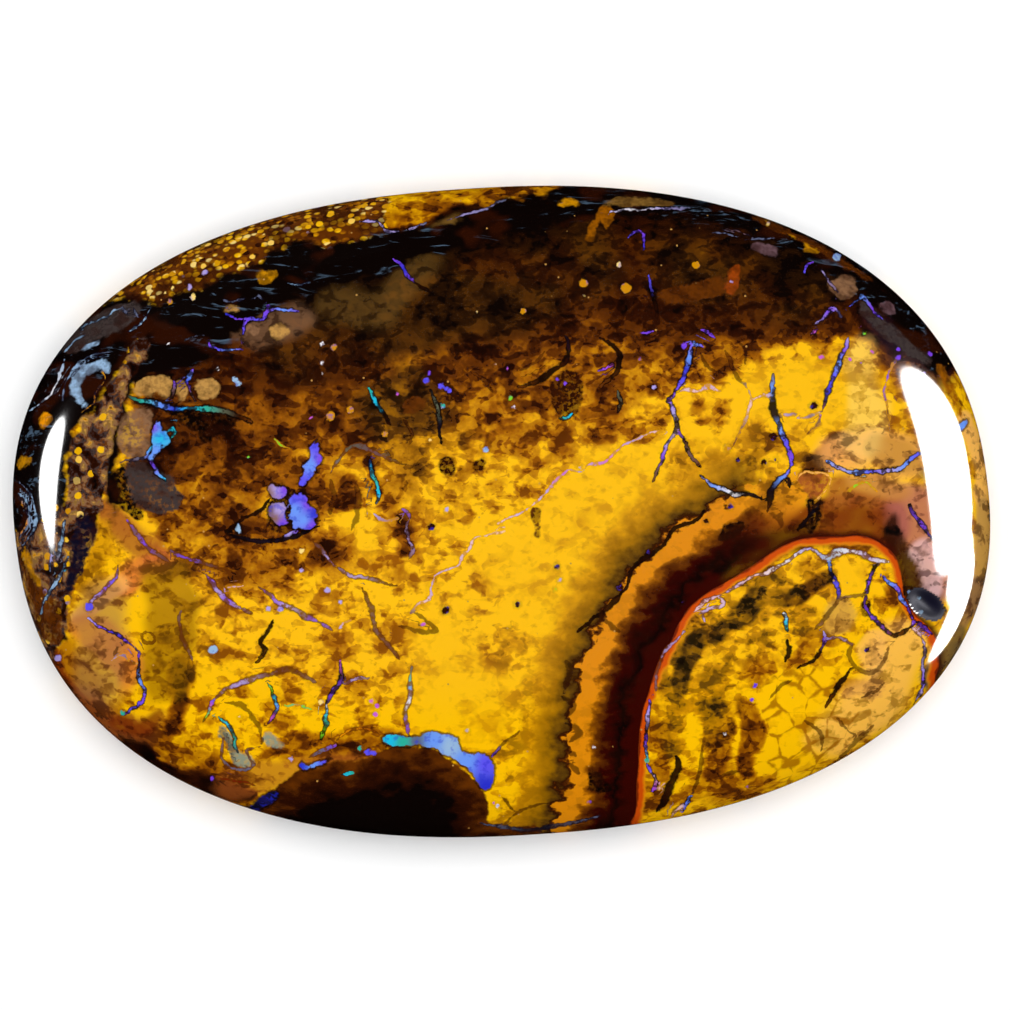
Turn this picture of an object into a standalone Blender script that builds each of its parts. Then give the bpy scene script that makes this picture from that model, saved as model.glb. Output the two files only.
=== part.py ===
"""A polished cabochon of boulder opal: one stone with a low dome, a rounded shoulder and a flat ground base.

Run it with: blender --background --python part.py
Metres, +Z up. The origin is the middle of the flat base, and +X is the stone's long way.
"""

import math

import bmesh
import bpy

# Driving dimensions, in metres
LENGTH = 0.0300
WIDTH = 0.0201
HEIGHT = 0.0050
CROWN_RISE = 0.0014
SHOULDER_RISE = 0.0013
SHOULDER_WIDTH = 0.0022

# The stone is widest at the girdle. Above it the side leans in a little up to the shoulder
GIRDLE_HEIGHT = 0.0006
SIDE_LEAN = 0.00015
BASE_INSET = 0.0003

# The outline is a superellipse, turned and leaned a little, as a freely cut stone is
SQUARENESS = 2.31
TURN = math.radians(3.9)
LEAN = -0.054

# The one open pit in the polish, by the right-hand end: where it is round the outline, and how far out
PIT_ANGLE = math.radians(-21.2)
PIT_SHARE = 0.885
PIT_LENGTH = 0.00110
PIT_WIDTH = 0.00064
PIT_DEPTH = 0.00020
PIT_TURN = math.radians(-38)

# Fineness: rings from the middle of the dome to where the side begins, and the steps in which curves are measured
RINGS = 28
OUTLINE_STEPS = 720
PROFILE_STEPS = 400
TANGENT_STEP = 1e-4
ROUNDING = 1e-9  # differences below this are rounding of the arithmetic

# Edges bent by more than this are shaded sharp
SHARP_ANGLE = math.radians(40)

STONE_COLOUR = (0.42, 0.20, 0.02, 1.0)
STONE_ROUGHNESS = 0.12


def signed_power(value, exponent):
    return math.copysign(abs(value) ** exponent, value)


def raw_outline(angle):
    """A point of the leaned and turned superellipse, before it is fitted to the length and width."""
    x = LENGTH / 2 * signed_power(math.cos(angle), 2 / SQUARENESS)
    y = WIDTH / 2 * signed_power(math.sin(angle), 2 / SQUARENESS)
    x += LEAN * y
    return (
        x * math.cos(TURN) - y * math.sin(TURN),
        x * math.sin(TURN) + y * math.cos(TURN),
    )


def outline_fit():
    """Scales in X and Y that bring the raw outline to the driving length and width."""
    points = [raw_outline(2 * math.pi * i / OUTLINE_STEPS) for i in range(OUTLINE_STEPS)]
    half_x = max(x for x, _ in points)
    half_y = max(y for _, y in points)
    return LENGTH / 2 / half_x, WIDTH / 2 / half_y


FIT_X, FIT_Y = outline_fit()


def outline(angle):
    x, y = raw_outline(angle)
    return x * FIT_X, y * FIT_Y


def shoulder_outline(angle):
    """The outline where the side ends and the shoulder begins."""
    x, y = outline(angle)
    keep = 1 - SIDE_LEAN / math.hypot(x, y)
    return x * keep, y * keep


def reach(angle):
    """How far the shoulder outline's tangent at this angle lies from the middle."""
    x, y = shoulder_outline(angle)
    x_before, y_before = shoulder_outline(angle - TANGENT_STEP)
    x_after, y_after = shoulder_outline(angle + TANGENT_STEP)
    along_x, along_y = x_after - x_before, y_after - y_before
    return abs(x * along_y - y * along_x) / math.hypot(along_x, along_y)


def dome_height(share, edge_distance):
    """Height of the polished face. share is 0 in the middle and 1 where the side begins."""
    across = min(edge_distance / SHOULDER_WIDTH, 1.0)
    shoulder = SHOULDER_RISE * math.sqrt(1 - (1 - across) ** 2)
    return HEIGHT - CROWN_RISE * share**2 - SHOULDER_RISE + shoulder


def ring_shares():
    """Each ring's share, evenly spaced along the cross-section, so that the shoulder gets enough rings."""
    middle_reach = (LENGTH + WIDTH) / 4
    shares, lengths = [0.0], [0.0]
    last = (0.0, dome_height(0.0, middle_reach))
    for i in range(1, PROFILE_STEPS + 1):
        share = math.sin(math.pi / 2 * i / PROFILE_STEPS)
        here = (share * middle_reach, dome_height(share, (1 - share) * middle_reach))
        lengths.append(lengths[-1] + math.dist(last, here))
        shares.append(share)
        last = here
    picked = []
    at = 0
    for ring in range(RINGS + 1):
        target = lengths[-1] * ring / RINGS
        while at < PROFILE_STEPS and lengths[at] < target - ROUNDING:
            at += 1
        picked.append(shares[at])
    picked[-1] = 1.0
    return picked


def square_to_rings(u, v):
    """Which ring a point of the square grid is on, from 0 to 1, and its angle round that ring."""
    ring = max(abs(u), abs(v))
    if ring < ROUNDING:
        return 0.0, 0.0
    if abs(u) >= abs(v):
        angle = math.pi / 4 * v / u
        return ring, angle if u > 0 else angle + math.pi
    angle = math.pi / 2 - math.pi / 4 * u / v
    return ring, angle if v > 0 else angle + math.pi


def open_edges(bm):
    return [edge for edge in bm.edges if edge.is_boundary]


def split_corner_squares(bm):
    """The grid's four corner squares lie stretched along the edge, so each is cut towards the middle."""
    for vert in [v for v in bm.verts if len(v.link_edges) == 2]:
        loop = vert.link_loops[0]
        bmesh.utils.face_split(loop.face, vert, loop.link_loop_next.link_loop_next.vert)


def build_stone():
    shares = ring_shares()
    bm = bmesh.new()
    bmesh.ops.create_grid(bm, x_segments=2 * RINGS, y_segments=2 * RINGS, size=1.0)
    for vert in bm.verts:
        ring, angle = square_to_rings(vert.co.x, vert.co.y)
        share = shares[round(ring * RINGS)]
        x, y = shoulder_outline(angle)
        vert.co = (
            x * share,
            y * share,
            dome_height(share, (1 - share) * reach(angle)),
        )
    split_corner_squares(bm)
    # The side runs out to the girdle, and the edge below it in to the base
    for height, inset in ((GIRDLE_HEIGHT, -SIDE_LEAN), (0.0, BASE_INSET)):
        made = bmesh.ops.extrude_edge_only(bm, edges=open_edges(bm))["geom"]
        for vert in (item for item in made if isinstance(item, bmesh.types.BMVert)):
            keep = 1 - inset / math.hypot(vert.co.x, vert.co.y)
            vert.co = (vert.co.x * keep, vert.co.y * keep, height)
    # The flat base is one face
    bmesh.ops.contextual_create(bm, geom=open_edges(bm))
    bmesh.ops.recalc_face_normals(bm, faces=bm.faces)
    return bm


def make_material():
    material = bpy.data.materials.new("boulder_opal")
    material.use_nodes = True
    shader = material.node_tree.nodes["Principled BSDF"]
    shader.inputs["Base Color"].default_value = STONE_COLOUR
    shader.inputs["Roughness"].default_value = STONE_ROUGHNESS
    shader.inputs["Metallic"].default_value = 0.0
    return material


def make_pit_cutter():
    """A flattened ball, sunk so that it takes a shallow oval out of the polish."""
    bm = bmesh.new()
    bmesh.ops.create_icosphere(bm, subdivisions=3, radius=1.0)
    for vert in bm.verts:
        vert.co = (
            vert.co.x * PIT_LENGTH / 2,
            vert.co.y * PIT_WIDTH / 2,
            vert.co.z * PIT_DEPTH,
        )
    mesh = bpy.data.meshes.new("pit_cutter")
    bm.to_mesh(mesh)
    bm.free()
    cutter = bpy.data.objects.new("pit_cutter", mesh)
    x, y = shoulder_outline(PIT_ANGLE)
    height = dome_height(PIT_SHARE, (1 - PIT_SHARE) * reach(PIT_ANGLE))
    cutter.location = (x * PIT_SHARE, y * PIT_SHARE, height)
    cutter.rotation_euler = (0, 0, PIT_TURN)
    cutter.hide_render = True
    cutter.display_type = "WIRE"
    bpy.context.scene.collection.objects.link(cutter)
    return cutter


def main():
    for leftover in list(bpy.data.objects):
        bpy.data.objects.remove(leftover)
    bm = build_stone()
    mesh = bpy.data.meshes.new("opal_stone")
    bm.to_mesh(mesh)
    bm.free()
    mesh.shade_smooth()
    mesh.set_sharp_from_angle(angle=SHARP_ANGLE)
    mesh.materials.append(make_material())
    stone = bpy.data.objects.new("opal_stone", mesh)
    bpy.context.scene.collection.objects.link(stone)
    cut = stone.modifiers.new("pit", "BOOLEAN")
    cut.operation = "DIFFERENCE"
    cut.object = make_pit_cutter()


main()
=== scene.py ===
import math

import bmesh
import bpy
import numpy as np
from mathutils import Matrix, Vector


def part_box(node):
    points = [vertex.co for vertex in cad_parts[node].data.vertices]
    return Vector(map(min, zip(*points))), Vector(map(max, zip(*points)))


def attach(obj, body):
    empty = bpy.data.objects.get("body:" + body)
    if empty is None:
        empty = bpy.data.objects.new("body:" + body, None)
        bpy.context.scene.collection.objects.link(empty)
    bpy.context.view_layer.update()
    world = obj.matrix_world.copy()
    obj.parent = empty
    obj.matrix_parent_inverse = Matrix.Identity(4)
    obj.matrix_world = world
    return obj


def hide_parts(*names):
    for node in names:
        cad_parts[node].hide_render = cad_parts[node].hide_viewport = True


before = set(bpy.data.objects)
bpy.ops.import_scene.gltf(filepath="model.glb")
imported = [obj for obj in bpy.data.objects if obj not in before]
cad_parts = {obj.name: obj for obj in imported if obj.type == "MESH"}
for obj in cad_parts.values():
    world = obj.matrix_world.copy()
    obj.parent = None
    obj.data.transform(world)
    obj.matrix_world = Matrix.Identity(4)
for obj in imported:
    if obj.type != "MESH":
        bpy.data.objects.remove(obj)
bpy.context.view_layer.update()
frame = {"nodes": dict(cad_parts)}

print("frame loaded:", ", ".join(frame["nodes"]))

# All sizes are metres. Places on the polished face are pixels of the photograph, which is 1010 by 1010
millimetre = 0.001
cadLow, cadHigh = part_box("opal_stone")
stoneLength, stoneWidth, stoneHeight = cadHigh - cadLow

stone = {
    "rings": 149,  # from the middle of the dome to the shoulder's edge
    "squareness": 2.31,  # 2 is an ellipse, more is boxier
    "turn": math.radians(3.9),
    "lean": -0.054,
    "crownRise": 0.28 * stoneHeight,
    "shoulderRise": 0.26 * stoneHeight,
    "shoulderWidth": 2.2 * millimetre,
    "sideLean": 0.15 * millimetre,  # how far the side leans in above the girdle
    "girdleHeight": 0.12 * stoneHeight,
    "baseInset": 0.3 * millimetre,
    "sideRows": (0.5, 1.0),  # shares of the way down from the shoulder to the girdle
    "baseRings": (0.93, 0.8, 0.5),  # rings of the flat base, as shares of its outline
    "baseEdge": 0.3,  # how far the bare base's look has begun at its edge
    "sharpAngle": math.radians(35),  # edges bent by more are shaded sharp
    "profileSteps": 4000,  # steps in which the dome's cross-section is measured
    "outlineSteps": 721,
    # The open pit: where it is round the outline, how far out, its size, and how it is turned
    "pitAngle": math.radians(-21.2),
    "pitShare": 0.885,
    "pitLength": 1.15 * millimetre,
    "pitWidth": 0.68 * millimetre,
    "pitDepth": 0.2 * millimetre,
    "pitTurn": math.radians(-38),
    "pitRim": 1.3,  # the bare black surface ends here; the pit's edge is 1
}

camera = {
    "lens": 120.0,  # millimetres, on a sensor 36 mm wide
    "sensor": 36.0,
    "imageSize": 1010,  # pixels
    "stoneMiddle": (501.5, 511.5),  # where the photograph shows the stone's middle
    "halfLength": 488.5,  # pixels from there to the stone's right-hand end
    "near": 0.001,
    "far": 10.0,
}

# Camera: straight above, far enough for the outline to fill the frame as in the photograph
focalPixels = camera["imageSize"] * camera["lens"] / camera["sensor"]
shoulderHeight = stoneHeight - stone["crownRise"] - stone["shoulderRise"]
shoulderReach = stoneLength / 2 - stone["sideLean"]
cameraHeight = shoulderHeight + focalPixels * shoulderReach / camera["halfLength"]
pixelSize = (cameraHeight - shoulderHeight) / focalPixels  # metres per pixel at the shoulder
frameMiddle = camera["imageSize"] / 2
cameraX = (frameMiddle - camera["stoneMiddle"][0]) * pixelSize
cameraY = (camera["stoneMiddle"][1] - frameMiddle) * pixelSize


def makeCamera():
    lens = bpy.data.cameras.new("camera")
    lens.lens = camera["lens"]
    lens.sensor_width = camera["sensor"]
    lens.clip_start = camera["near"]
    lens.clip_end = camera["far"]
    obj = bpy.data.objects.new("camera", lens)
    obj.location = (cameraX, cameraY, cameraHeight)
    bpy.context.scene.collection.objects.link(obj)
    bpy.context.scene.camera = obj


def pixelOf(points):  # where the camera sees a point, in pixels of the photograph
    away = cameraHeight - points[:, 2]
    across = frameMiddle + (points[:, 0] - cameraX) * focalPixels / away
    down = frameMiddle - (points[:, 1] - cameraY) * focalPixels / away
    return np.stack([across, down], axis=1)


# The stone's form
def rawOutline(angle):
    power = 2 / stone["squareness"]
    x = stoneLength / 2 * np.sign(np.cos(angle)) * np.abs(np.cos(angle)) ** power
    y = stoneWidth / 2 * np.sign(np.sin(angle)) * np.abs(np.sin(angle)) ** power
    x = x + stone["lean"] * y
    cosTurn, sinTurn = math.cos(stone["turn"]), math.sin(stone["turn"])
    return x * cosTurn - y * sinTurn, x * sinTurn + y * cosTurn


fullTurn = np.linspace(0, 2 * np.pi, stone["outlineSteps"])
fitX = stoneLength / 2 / rawOutline(fullTurn)[0].max()
fitY = stoneWidth / 2 / rawOutline(fullTurn)[1].max()


def shoulderOutline(angle):  # where the side ends and the shoulder begins
    x, y = rawOutline(angle)
    x, y = x * fitX, y * fitY
    keep = 1 - stone["sideLean"] / np.hypot(x, y)
    return x * keep, y * keep


def reachOf(angle):  # how far the outline's tangent lies from the middle
    step = 1e-4  # radians to either side
    x, y = shoulderOutline(angle)
    xBefore, yBefore = shoulderOutline(angle - step)
    xAfter, yAfter = shoulderOutline(angle + step)
    alongX, alongY = xAfter - xBefore, yAfter - yBefore
    return np.abs(x * alongY - y * alongX) / np.hypot(alongX, alongY)


def domeHeight(share, fromEdge):
    across = np.minimum(fromEdge / stone["shoulderWidth"], 1.0)
    shoulder = stone["shoulderRise"] * np.sqrt(np.maximum(1 - (1 - across) ** 2, 0))
    return stoneHeight - stone["crownRise"] * share**2 - stone["shoulderRise"] + shoulder


def ringShares():  # rings evenly spaced along the dome's cross-section
    shares = np.sin(np.linspace(0, np.pi / 2, stone["profileSteps"]))
    reach = (stoneLength + stoneWidth) / 4
    heights = domeHeight(shares, (1 - shares) * reach)
    steps = np.hypot(np.diff(shares) * reach, np.diff(heights))
    along = np.concatenate([[0], np.cumsum(steps)])
    wanted = np.linspace(0, along[-1], stone["rings"] + 1)
    return np.interp(wanted, along, shares)


def squareToRings(u, v):  # which ring a point of the square grid is on, and its angle round it
    ring = np.maximum(np.abs(u), np.abs(v))
    safe = np.maximum(ring, 1e-9)
    sideways = np.abs(u) >= np.abs(v)
    angle = np.where(sideways, np.pi / 4 * v / np.where(u < 0, -safe, safe), 0)
    angle = np.where(sideways & (u < 0), angle + np.pi, angle)
    upright = np.pi / 2 - np.pi / 4 * u / np.where(v < 0, -safe, safe)
    angle = np.where(~sideways, np.where(v < 0, upright + np.pi, upright), angle)
    return ring, angle


def openEdges(bm):
    return [edge for edge in bm.edges if edge.is_boundary]


def nextRow(bm):  # a row of faces grown from the open edge; gives its new points
    made = bmesh.ops.extrude_edge_only(bm, edges=openEdges(bm))["geom"]
    return [item for item in made if isinstance(item, bmesh.types.BMVert)]


def pitReach(points):  # 1 at the edge of the open pit, less inside it
    x, y = shoulderOutline(np.array([stone["pitAngle"]]))
    gapX = points[:, 0] - x[0] * stone["pitShare"]
    gapY = points[:, 1] - y[0] * stone["pitShare"]
    cosTurn, sinTurn = math.cos(stone["pitTurn"]), math.sin(stone["pitTurn"])
    along = (gapX * cosTurn + gapY * sinTurn) / (stone["pitLength"] / 2)
    across = (gapY * cosTurn - gapX * sinTurn) / (stone["pitWidth"] / 2)
    return along**2 + across**2


def pitDrop(points):
    return stone["pitDepth"] * np.clip(1 - pitReach(points), 0, 1) ** 1.5


def buildStone():
    bm = bmesh.new()
    segments = 2 * stone["rings"]
    bmesh.ops.create_grid(bm, x_segments=segments, y_segments=segments, size=1.0)
    grid = np.array([vert.co for vert in bm.verts])
    ring, angle = squareToRings(grid[:, 0], grid[:, 1])
    share = ringShares()[np.rint(ring * stone["rings"]).astype(int)]
    x, y = shoulderOutline(angle)
    height = domeHeight(share, (1 - share) * reachOf(angle))
    points = np.stack([x * share, y * share, height], axis=1)
    points[:, 2] -= pitDrop(points)
    for vert, point in zip(bm.verts, points):
        vert.co = point
    for vert in [v for v in bm.verts if len(v.link_edges) == 2]:  # corner squares are cut towards the middle
        loop = vert.link_loops[0]
        bmesh.utils.face_split(loop.face, vert, loop.link_loop_next.link_loop_next.vert)
    depthLayer = bm.verts.layers.float.new("depth")  # how far down the side, from the shoulder
    baseLayer = bm.verts.layers.float.new("underside")
    sideHeight = shoulderHeight - stone["girdleHeight"]
    above = 0.0
    for down in stone["sideRows"]:
        for vert in nextRow(bm):
            keep = 1 + stone["sideLean"] * (down - above) / math.hypot(vert.co.x, vert.co.y)
            vert.co = (vert.co.x * keep, vert.co.y * keep, shoulderHeight - down * sideHeight)
            vert[depthLayer] = down * sideHeight
        above = down
    for vert in nextRow(bm):
        keep = 1 - stone["baseInset"] / math.hypot(vert.co.x, vert.co.y)
        vert.co = (vert.co.x * keep, vert.co.y * keep, 0)
        vert[depthLayer] = shoulderHeight
        vert[baseLayer] = stone["baseEdge"]
    last = 1.0
    for inward in stone["baseRings"]:
        for vert in nextRow(bm):
            vert.co = (vert.co.x * inward / last, vert.co.y * inward / last, 0)
            vert[depthLayer] = shoulderHeight
            vert[baseLayer] = 1.0
        last = inward
    bmesh.ops.contextual_create(bm, geom=openEdges(bm))
    bmesh.ops.recalc_face_normals(bm, faces=bm.faces)
    middles = np.array([face.calc_center_median() for face in bm.faces])
    inPit = (pitReach(middles) < stone["pitRim"]) & (middles[:, 2] > shoulderHeight)
    for face, bare in zip(bm.faces, inPit):
        face.material_index = int(bare)
    mesh = bpy.data.meshes.new("opal_cabochon")
    bm.to_mesh(mesh)
    bm.free()
    mesh.shade_smooth()
    mesh.set_sharp_from_angle(angle=stone["sharpAngle"])
    obj = bpy.data.objects.new("opal_cabochon", mesh)
    bpy.context.scene.collection.objects.link(obj)
    return obj


# Colours, as read off the photograph: red, green and blue out of 255
palette = {
    "black": (10, 4, 3),
    "blackBlue": (14, 12, 30),
    "oliveBlack": (36, 24, 6),
    "darkBrown": (46, 15, 3),
    "maroon": (50, 5, 2),
    "brown": (95, 45, 4),
    "oliveBrown": (84, 54, 10),
    "amber": (150, 85, 3),
    "olive": (145, 98, 4),
    "gold": (200, 135, 4),
    "yellow": (248, 188, 3),
    "paleGold": (250, 215, 120),
    "tan": (188, 140, 70),
    "oliveTan": (132, 96, 40),
    "greyTeal": (140, 145, 122),
    "mauveTan": (135, 97, 67),
    "mauve": (104, 76, 82),
    "pinkMauve": (175, 97, 82),
    "brick": (112, 30, 6),
    "rust": (150, 62, 8),
    "sienna": (160, 82, 30),
    "coral": (214, 112, 46),
    "ochre": (218, 134, 10),
    "slate": (62, 52, 50),
    "navy": (26, 22, 84),
    "rimOrange": (200, 74, 6),
    "orange": (236, 150, 8),
    "paleOrange": (245, 180, 90),
    "peach": (240, 165, 85),
    "palePink": (235, 190, 190),
    "lavender": (174, 156, 218),
    "violet": (122, 66, 222),
    "blueViolet": (92, 80, 235),
    "skyBlue": (105, 150, 240),
    "deepBlue": (40, 46, 200),
    "cyan": (25, 185, 225),
    "teal": (40, 172, 150),
    "green": (125, 210, 35),
    "agateBlue": (150, 182, 215),
    "steel": (98, 124, 150),
    "greyBlue": (92, 98, 125),
    "greyGreen": (88, 92, 72),
    "magenta": (200, 90, 200),
    "white": (235, 230, 235),
}


def tone(name, alpha=1.0):  # a palette colour as light, for a socket
    channels = [c / 255 for c in palette[name]]
    linear = [c / 12.92 if c <= 0.04045 else ((c + 0.055) / 1.055) ** 2.4 for c in channels]
    return (*linear, alpha)


# Soft shading of the yellow to black ground, painted in order: brightness, radius, softness, route
groundBrightness = 0.83
groundStrokes = [
    (0.8, 40, 50, [(250, 600), (330, 640), (300, 700)]),
    (0.66, 50, 55, [(230, 455), (320, 452), (430, 432), (520, 412)]),
    (0.84, 34, 28, [(310, 580), (345, 530), (400, 505), (430, 540)]),
    (0.46, 30, 34, [(200, 440), (290, 412), (340, 402), (440, 380), (520, 365), (640, 345), (730, 322)]),
    (0.32, 34, 32, [(190, 400), (260, 385), (350, 366), (440, 343), (540, 318), (640, 300), (760, 290),
                    (850, 282)]),
    (0.2, 42, 28, [(200, 345), (300, 310), (420, 290), (540, 262), (640, 266), (700, 270), (790, 264),
                   (880, 300)]),
    (0.1, 16, 24, [(150, 350), (200, 318), (290, 288), (360, 262), (440, 240), (500, 222), (600, 208),
                   (720, 212), (800, 236), (880, 285), (930, 350)]),
    (0.58, 9, 8, [(350, 215), (420, 204), (500, 190), (550, 186)]),
    (0.885, 34, 50, [(455, 700), (480, 630), (545, 560), (612, 490), (680, 430)]),
    (0.84, 12, 30, [(430, 560), (470, 590), (500, 640)]),
    (0.89, 20, 24, [(690, 450), (740, 410), (800, 395), (850, 390)]),
    (0.72, 14, 26, [(700, 485), (760, 465)]),
    (0.84, 14, 30, [(512, 760), (530, 820)]),
    (0.28, 18, 22, [(150, 480), (200, 445), (230, 418)]),
    (0.42, 10, 16, [(225, 552), (290, 553), (330, 545)]),
    (0.46, 14, 16, [(165, 512), (190, 526), (205, 545)]),
    (0.5, 12, 16, [(236, 522), (262, 534), (300, 538)]),
    (0.44, 14, 18, [(235, 498), (270, 478), (330, 490)]),
    (0.34, 24, 24, [(256, 400), (296, 396), (330, 384), (384, 404)]),
    (0.22, 18, 24, [(262, 366), (304, 358), (348, 362)]),
    (0.5, 12, 20, [(352, 440), (385, 452), (392, 480)]),
    (0.86, 8, 12, [(838, 352), (862, 357), (888, 373)]),
    (0.5, 22, 18, [(180, 556), (225, 562), (270, 566)]),
    (0.46, 10, 14, [(385, 450), (408, 466)]),
    (0.5, 6, 10, [(395, 515), (410, 545)]),
    (0.42, 6, 10, [(186, 670), (182, 700), (176, 722)]),
    (0.56, 12, 16, [(100, 720), (160, 752), (220, 785)]),
    (0.12, 4, 9, [(48, 652), (70, 692), (108, 730), (150, 758), (200, 784), (245, 806)]),
    (0.52, 10, 14, [(290, 752), (350, 740), (392, 748)]),
    (0.5, 12, 16, [(600, 415), (632, 385), (655, 374)]),
    (0.36, 6, 8, [(842, 436), (828, 448), (812, 466)]),
    (0.45, 5, 12, [(560, 368), (600, 355), (620, 350)]),
    (0.62, 8, 12, [(700, 405), (718, 408)]),
    (0.62, 8, 12, [(640, 420), (652, 424)]),
]

# Soft tints over it, a few of them painted highlight haze: colour, strength, radius, softness, route
tintStrokes = [
    ("brick", 0.95, 16, 12, [(712, 546), (745, 534), (790, 520), (850, 520), (885, 528)]),
    ("maroon", 0.9, 10, 12, [(720, 562), (760, 548), (800, 530)]),
    ("pinkMauve", 0.85, 16, 16, [(900, 505), (920, 535), (938, 575)]),
    ("mauve", 0.7, 8, 12, [(912, 560), (930, 590)]),
    ("peach", 0.8, 12, 16, [(838, 450), (872, 442), (900, 450)]),
    ("olive", 0.5, 10, 12, [(880, 445), (900, 450)]),
    ("ochre", 0.8, 8, 12, [(760, 506), (785, 498), (800, 480)]),
    ("sienna", 0.85, 12, 12, [(838, 494), (880, 490)]),
    ("sienna", 0.9, 8, 8, [(104, 508), (118, 522), (134, 540), (150, 552)]),
    ("coral", 0.9, 8, 9, [(118, 592), (134, 574), (158, 566)]),
    ("gold", 0.8, 8, 8, [(101, 528), (90, 560), (82, 580)]),
    ("peach", 0.95, 7, 8, [(86, 612), (98, 600), (112, 588)]),
    ("coral", 0.8, 12, 10, [(88, 632), (108, 648), (126, 672)]),
    ("rust", 0.8, 9, 10, [(64, 654), (80, 674), (92, 692)]),
    ("olive", 0.75, 20, 14, [(160, 592), (172, 624), (166, 680)]),
    ("sienna", 0.7, 10, 12, [(90, 706), (120, 724), (146, 728)]),
    ("brick", 0.8, 6, 8, [(122, 718), (138, 728), (150, 722)]),
    ("sienna", 0.6, 10, 14, [(235, 792), (290, 778), (350, 764)]),
    ("mauveTan", 0.5, 12, 14, [(240, 318), (275, 325), (300, 318)]),
    ("oliveTan", 0.75, 6, 9, [(410, 247), (428, 238), (456, 232)]),
    ("oliveTan", 0.25, 10, 18, [(340, 298), (380, 300), (420, 268)]),
    ("blackBlue", 0.7, 12, 16, [(885, 322), (915, 345), (936, 376)]),
    ("paleOrange", 0.85, 6, 5, [(966, 425), (975, 460), (980, 495)]),
    ("tan", 0.9, 6, 6, [(982, 505), (985, 540), (981, 572)]),
    ("mauveTan", 0.9, 6, 6, [(979, 585), (971, 610), (963, 630)]),
    ("slate", 0.95, 6, 6, [(960, 640), (948, 662), (934, 682)]),
    ("darkBrown", 0.95, 7, 6, [(886, 531), (898, 542), (904, 556), (908, 574), (912, 588)]),
    ("palePink", 0.6, 8, 8, [(922, 548), (930, 562), (932, 580)]),
    ("slate", 0.6, 5, 7, [(920, 466), (927, 482)]),
    ("tan", 0.6, 10, 5, [(836, 620), (846, 616)]),
    # Partly a tan cell of the stone and partly painted highlight glow spreading from the right-hand highlight
    ("paleOrange", 0.6, 12, 4, [(868, 648), (870, 656)]),
    ("paleOrange", 0.6, 18, 18, [(836, 736), (862, 710), (888, 676), (900, 646)]),
    # These two pale tints are painted highlight haze: the glow beside the inner side of the right-hand
    # highlight
    ("paleGold", 0.35, 14, 14, [(864, 362), (868, 400), (864, 440)]),
    ("paleOrange", 0.3, 12, 14, [(862, 480), (884, 484)]),
    ("mauveTan", 0.55, 14, 16, [(94, 600), (104, 640), (100, 684)]),
]

# The round nodule: its outer edge, run on past the stone's edge, and its other zones
noduleOutline = [
    (636, 870), (636, 812), (638, 762), (643, 712), (649, 688), (659, 661), (673, 637), (691, 607),
    (714, 589), (740, 574), (765, 559), (784, 547), (804, 539), (838, 536), (868, 539), (886, 546),
    (897, 559), (901, 578), (905, 596), (915, 615), (934, 632), (940, 656), (936, 690), (960, 760),
    (900, 900),
]
pocketOutline = [
    (255, 806), (276, 788), (300, 771), (330, 763), (365, 758), (388, 747), (410, 746), (430, 748),
    (446, 757), (460, 766), (472, 778), (484, 792), (490, 806), (486, 820), (505, 826), (545, 830),
    (560, 900), (240, 900),
]
sandOutline = [
    (60, 322), (100, 304), (122, 300), (146, 318), (165, 330), (180, 326), (205, 310), (240, 290),
    (290, 268), (330, 262), (372, 254), (388, 240), (384, 216), (392, 190), (380, 150), (150, 120),
]
sandColumnOutline = [
    (144, 340), (150, 352), (134, 374), (127, 392), (122, 412), (113, 440), (107, 480), (100, 512),
    (86, 520), (66, 512), (66, 480), (70, 448), (80, 424), (95, 408), (106, 390), (118, 368), (130, 350),
]
leftRockOutline = [
    (-60, 470), (20, 535), (56, 505), (96, 508), (94, 535), (84, 562), (72, 590), (68, 612), (68, 636),
    (55, 650), (40, 680), (-60, 700),
]

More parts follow.
